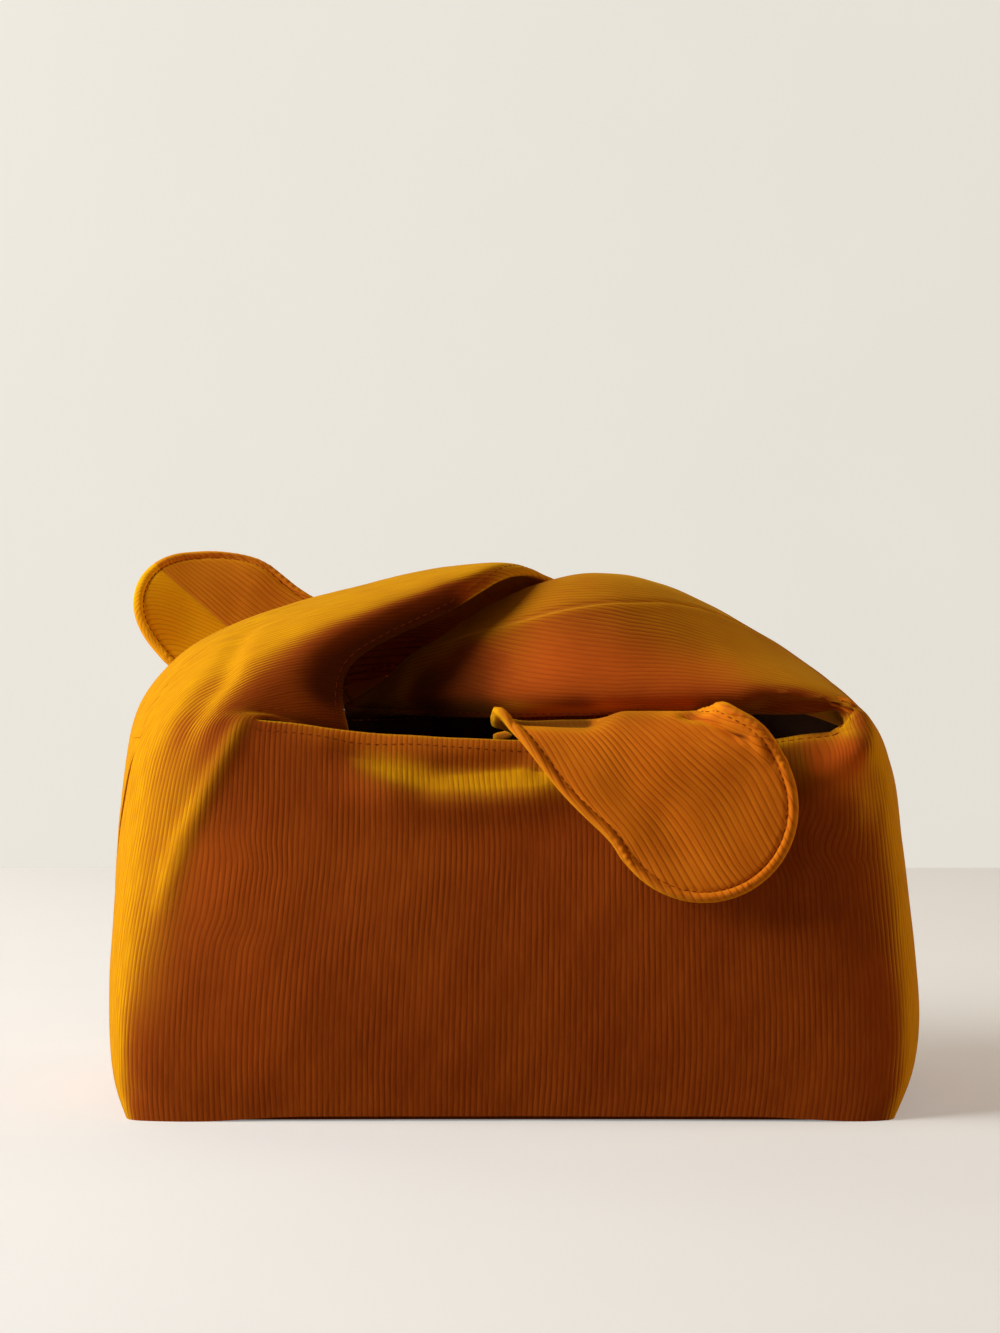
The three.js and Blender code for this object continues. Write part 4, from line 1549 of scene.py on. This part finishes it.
# Each has its line, its width, its height or way, the share of its length over which it
# eases in and out, and the nets that it acts on.
FOLDS = (
    Ripple(),
    Fold(
        (
            (-122, -61, 60), (-118, -62, 84), (-114, -61.5, 96), (-109.4, -62, 105),
            (-102.8, -62.4, 118.6), (-94.9, -60.8, 134), (-87.7, -55.3, 147),
        ),
        3.2, 1.7, 0.25,
    ),
    Fold(
        ((-117, -55, 118), (-109, -54, 136), (-100, -47, 153), (-95, -26, 166), (-84, -16, 172)),
        5.5, -2.0,
    ),
    Fold(((-123, -42, 112), (-115, -43, 136), (-104, -32, 157)), 6.0, 1.3),
    Fold(
        (
            (-66, -60, 132), (-50, -58, 127), (-28, -57, 120), (-14, -57, 122), (5, -57, 124),
            (18, -58, 121),
        ),
        4.6, -3.3, 0.18,
    ),
    Fold(
        ((-62, -62, 119), (-32, -61, 110), (-14, -61, 110), (5, -61, 112), (30, -62, 113)),
        6.5, 4.1, 0.25,
    ),
    Fold(((7, -58, 124), (14, -59, 119)), 2.6, -2.2, 0.45),
    Fold(((84, -60, 111), (104, -59, 110), (126, -55, 107)), 10.0, 5.5, 0.25),
    Fold(((128, -54, 138), (117, -60, 125), (109, -62, 116), (97, -63, 110)), 6.0, 3.6, 0.3),
    Fold(((82, -58, 138), (104, -57, 141), (124, -52, 136)), 7.0, -4.6, 0.22),
    Fold(((92, -60, 112), (95, -66, 92), (99, -66, 62)), 7.0, -1.6),
    Fold(((108, -63, 102), (112, -66, 84), (116, -66, 52)), 9.0, 1.3),
    Fold(((137, -40, 34), (131, -58, 20), (128, -64, 6)), 4.5, -2.4),
    Fold(((-133, -52, 26), (-130, -63, 4)), 4.0, -1.4),
    Fold(((-60, -66, 92), (-20, -68, 58), (0, -68, 20)), 16.0, 0.9),
    Fold(
        ((50, -65, 142.5), (62, -68.5, 143.5), (74, -72, 143), (84, -75, 137), (89, -76, 124)),
        2.6, -1.8, 0.2, "left",
    ),
    Fold(
        ((56, -66.3, 140.6), (65, -68.7, 139), (72, -71.2, 136.9), (81, -74.2, 132.6)),
        2.2, 3.6, 0.22, "left",
    ),
    Pull(
        ((-8, -58, 140), (6, -59, 140), (24, -60, 140), (40, -61, 140)),
        8.0, (0, 0.5, -5.8), 0.3, "left",
    ),
    Pull(((-9, -56, 141), (-7, -62, 141), (-2, -68, 136)), 3.0, (-0.8, -1.0, 5.0), 0.3, "left"),
    Pull(((-7, -48, 134), (-7, -42, 128)), 7.0, (7.0, 0, 0), 0.5, "left"),
    Pull(
        ((-58, -45, 141), (-60, -42, 157), (-37, -37, 168), (-15, -30, 177)),
        9.0, (0, 2.5, 0), 0.2, "left",
    ),
    Pull(
        ((-40, 86, 147), (-62, 91, 160), (-80, 93, 170), (-100, 92, 183), (-124, 86, 196)),
        15.0, (2.0, 0.5, 5.6), 0.35, "right",
    ),
    Pull(((-70, 45, 128), (-118, 44, 142), (-150, 60, 175)), 24.0, (0, 7.0, 0), 0.3, "right"),
    Pull(
        ((84, -57, 137), (100, -57, 140), (120, -53, 137)),
        7.0, (0, 2.5, -1.2), 0.22, "body right",
    ),
    Fold(((30, -74, 124), (50, -76, 108), (66, -76, 84)), 7.0, 1.2, 0.3, "left"),
    Pull(
        ((-74, 52, 151), (-58, 55, 150), (-44, 57, 153), (-24, 58, 155)),
        6.5, (0, -1.0, -5.4), 0.16, "left",
    ),
    Pull(((-68, 50, 143), (-54, 53, 144), (-42, 58, 146)), 7.0, (0, -1.0, 1.3), 0.3, "right"),
)
# Painted light and shade: where the golden painted sheen is raised on lit cloth, or painted shade darkens
# hollows and flanks where the share is negative
PAINTED_LIGHT_AND_SHADE = (
    Fold(
        (
            (-58, -60, 128), (-40, -60, 122), (-26, -60, 117), (-8, -60, 117), (12, -60, 118),
            (26, -61, 114),
        ),
        5.0, 0.95, 0.22,
    ),
    Fold(((-84, -60, 140), (-50, -58, 134), (-10, -57, 131), (20, -57, 131)), 4.5, 0.36, 0.2),
    Fold(((88, -60, 122), (106, -59, 123), (122, -56, 120)), 8.5, 0.42, 0.3),
    Fold(
        ((-104, -52, 136), (-112, -56, 112), (-120, -57, 84), (-124, -58, 60), (-130, -56, 24)),
        8.0, 0.4, 0.2,
    ),
    Fold(
        (
            (-121, -61, 66), (-118, -62, 84), (-109.4, -62, 105), (-94.9, -60.8, 134),
            (-87.7, -55.3, 147),
        ),
        2.6, 0.5, 0.2,
    ),
    Fold(
        ((-72, -48, 140), (-62, -44, 154), (-38, -38, 166), (-10, -28, 176)),
        11.0, -1.2, 0.15, "left",
    ),
    Fold(((-40, -12, 142), (-20, -24, 146), (6, -36, 146)), 12.0, -1.0, 0.3, "right"),
    Fold(((0, -60, 140), (30, -62, 139), (64, -66, 139)), 8.0, -0.45, 0.3, "left"),
    Fold(
        ((-3, -54, 141), (10, -55, 140.5), (22, -55, 140.5), (32, -57, 141)),
        5.5, -1.3, 0.25, "left",
    ),
    Fold(
        (
            (57, -63.5, 139.5), (60.5, -64.3, 138.8), (70, -69.5, 138.2), (79.2, -74.4, 134.8),
            (83, -75, 132),
        ),
        1.7, -1.3, 0.2, "left",
    ),
    Fold(((82, -56, 139), (100, -57, 139), (116, -54, 136)), 4.5, -0.9, 0.25, "body right"),
)
# Painted light: where the cloth is painted a brighter orange, on lit bulges, the rim's shelf, the front's
# left and the right tie's top
PAINTED_LIT_PATCHES = (
    Fold(
        ((-6, -34, 164), (17, -46, 157), (42, -49, 157), (66, -50, 154), (94, -51, 150)),
        14.0, 0.55, 0.25, "right",
    ),
    Fold(((100, -60, 122), (112, -61, 124), (122, -57, 130)), 9.5, 1.0, 0.25),
    Fold(((-98, -64, 112), (-92, -66, 60), (-96, -66, 6)), 20.0, 0.2, 0.2),
    Fold(((-84, -60, 138), (-50, -58, 133), (-10, -57, 131), (20, -57, 131)), 5.0, 0.45, 0.2),
    Fold(((124, -60, 64), (128, -60, 30), (129, -60, 4)), 9.0, 0.22, 0.2),
)
# How far the ribs swerve across the cloth
RIB_PULLS = (
    Fold(((110, -64, 106), (103, -66, 95), (104, -66, 84)), 24.0, 3.4, 0.45),
    Fold(((104, -60, 128), (118, -58, 126)), 9.0, -3.5, 0.45),
    Fold(((-30, -60, 118), (30, -60, 118)), 14.0, 1.5),
    Fold(((-96, -62, 60), (-88, -64, 100)), 16.0, -2.5),
)


@dataclass(frozen=True)
class Crease:
    """Where a loose end's cloth starts and stops turning with it, in millimetres."""

    body: str
    start: tuple
    stop: tuple

    def bend(self, piece: bpy.types.Object) -> None:
        """Bakes a piece's place into its mesh."""
        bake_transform(piece)


CREASES = {
    "left": Crease("front_tab", (31.3, -57.0, 141.9), (31.3, -66.0, 139.0)),
    "right": Crease("rear_tab", (-45.9, 60.6, 144.2), (-49.9, 69.6, 144.2)),
}
END_WORDS = {"left": ("upper", "lower"), "right": ("lower", "upper")}


@dataclass
class Bag:
    """The dressed bag: which pieces are cut and what they replace."""

    surface: BagSurface = field(default_factory=BagSurface)
    stitching: EdgeStitching = EdgeStitching()
    outer_base: BasePlate = BasePlate("base_outer_cloth", 0.0, 1.2, 2.6)
    lining_base: BasePlate = BasePlate("base_lining", 3.8, 0.5, 2.3)

    def build(self) -> None:
        """Builds every piece in order and reports it."""
        rib_group()
        self.outer = Corduroy("corduroy").material()
        self.facing = Corduroy(
            "facing_corduroy",
            pile=(0.640, 0.1430, 0.0054),
            tip=(0.790, 0.2150, 0.0086),
            valley=(0.480, 0.0900, 0.0037),
            painted_sheen=(0.760, 0.2700, 0.0040),
            rib_height=0.00014,
        ).material()
        # Painted light: lit copies of the corduroy for the rear tab's two outer halves, far paler than the
        # body's cloth, the lower half palest.
        self.ear_lower_lit = Corduroy(
            "ear_lower_painted_light_corduroy",
            pile=(0.950, 0.3800, 0.0030),
            tip=(0.960, 0.4400, 0.0044),
            valley=(0.740, 0.2400, 0.0022),
            painted_sheen=(0.950, 0.4600, 0.0030),
            against=1.0,
            sheen=0.9,
        ).material()
        self.turned = Corduroy(
            "ear_upper_painted_light_corduroy",
            pile=(0.610, 0.1650, 0.0090),
            tip=(0.790, 0.2500, 0.0130),
            valley=(0.430, 0.0950, 0.0030),
            painted_sheen=(0.780, 0.3000, 0.0040),
            against=1.0,
        ).material()
        self.twill = Twill("lining_twill").material()
        self.thread = Thread("sewing_thread").material()
        cloth = BagCloth(self.surface, FOLDS)
        self.build_base()
        for half in Half:
            self.build_half(cloth, half)
        for name in CREASES:
            self.build_tie(cloth, name)

    def build_base(self) -> None:
        """Makes the base's two layers of cloth and finishes the board between them."""
        for plate, finish, slot, node in (
            (self.outer_base, self.outer, "corduroy", "outer_base"),
            (self.lining_base, self.twill, "lining_twill", "lining_base"),
        ):
            piece = plate.build(self.surface.body)
            self.dress(piece, finish, slot, "bag_body")
            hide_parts(node)
        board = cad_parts["base_board"]
        board.data.materials.clear()
        board.data.materials.append(SheetBoard("grey_board").material())

    def build_half(self, cloth: BagCloth, half: Half) -> None:
        """Makes the outer cloth and the lining of the front or the back."""
        word = half.name.lower()
        straps = []
        for name in CREASES:
            cut = cloth.part_index[name] + 1
            straps.append(cloth.ties[name, half].part(slice(0, cut), slice(None)))
        patches = [cloth.body[half], *straps]
        piece = sewn(f"{word}_outer_cloth", patches, Side.OUTER)
        self.dress(piece, self.outer, "corduroy", "bag_body")
        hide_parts(f"outer_{word}", f"left_strap_{word}", f"right_strap_{word}")
        stitches = self.stitching.build(f"{word}_edge_stitches", patches, tuple(Side))
        self.dress(stitches, self.thread, "corduroy", "bag_body")
        self.declare(piece, patches, "gathered", "base_board", stitches)
        lining = sewn(f"{word}_lining", patches[:1], Side.FACING)
        self.dress(lining, self.twill, "lining_twill", "bag_body")
        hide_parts(f"lining_{word}")
        self.declare(lining, patches[:1], "hung", f"{word}_outer_cloth")

    def build_tie(self, cloth: BagCloth, name: str) -> None:
        """Makes the facing of a tie and all the cloth of its loose end."""
        crease = CREASES[name]
        cut = cloth.part_index[name]
        halves = [cloth.ties[name, half] for half in Half]
        whole = [p.part(slice(0, cut + 1), slice(None)) for p in halves]
        piece = sewn(f"{name}_tie_facing", whole, Side.FACING)
        self.dress(piece, self.facing, "facing_corduroy", "bag_body")
        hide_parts(f"{name}_strap_facing")
        self.declare(piece, whole, "gathered", "front_outer_cloth")
        ends = [p.part(slice(cut, None), slice(None)) for p in halves]
        inner = sewn(f"{crease.body}_inner_cloth", ends, Side.FACING)
        self.dress(inner, self.facing, "facing_corduroy", "")
        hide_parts(f"{crease.body}_facing")
        stitches = self.stitching.build(f"{crease.body}_edge_stitches", ends, tuple(Side))
        self.dress(stitches, self.thread, "facing_corduroy", "")
        self.declare(inner, ends, "hung", "front_outer_cloth", stitches)
        # The rear tab's halves take the painted light copies of the corduroy.
        finishes = (self.ear_lower_lit, self.turned) if name == "right" else (self.outer, self.outer)
        pieces = [inner, stitches]
        for end, word, outer in zip(ends, END_WORDS[name], finishes):
            piece = sewn(f"{crease.body}_{word}_cloth", [end], Side.OUTER)
            self.dress(piece, outer, "corduroy", "")
            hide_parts(f"{crease.body}_outer_{word}")
            self.declare(piece, [end], "hung", "back_outer_cloth")
            pieces.append(piece)
        for piece in pieces:
            crease.bend(piece)

    def declare(
        self, piece: bpy.types.Object, patches: list, held: str, support: str, *others: bpy.types.Object
    ) -> None:
        """Logs a sheet of cloth with the size and area of its flat pattern."""
        around = self.surface.around
        home = patches[0].pattern[..., 0].mean()
        laps = [np.round((p.pattern[..., 0].mean() - home) / around) for p in patches]
        flat = [p.pattern - np.array([lap * around, 0]) for p, lap in zip(patches, laps)]
        size = np.ptp(np.concatenate([f.reshape(-1, 2) for f in flat]), 0) * MM
        area = 0.0
        for p in patches:
            a = p.pattern[1:, 1:] - p.pattern[:-1, :-1]
            b = p.pattern[1:, :-1] - p.pattern[:-1, 1:]
            area += np.abs(a[..., 0] * b[..., 1] - a[..., 1] * b[..., 0]).sum() / 2
        area = float(min(area * MM**2, size.prod()))
        log.info("%s: cut %.0f by %.0f mm, %.4f square metres", piece.name, *size * 1000, area)

    @staticmethod
    def dress(piece: bpy.types.Object, finish: bpy.types.Material, slot: str, body: str) -> None:
        """Gives a piece its finish, and the body that it rides on, if it rides."""
        piece.data.materials.append(finish)
        if body:
            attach(piece, body)
        log.info("%s: %d faces", piece.name, len(piece.data.polygons))


def main() -> None:
    """Builds the studio and the bag."""
    logging.basicConfig(level=logging.INFO, format="%(message)s")
    Studio().build()
    Bag().build()


if __name__ == "__main__":
    main()
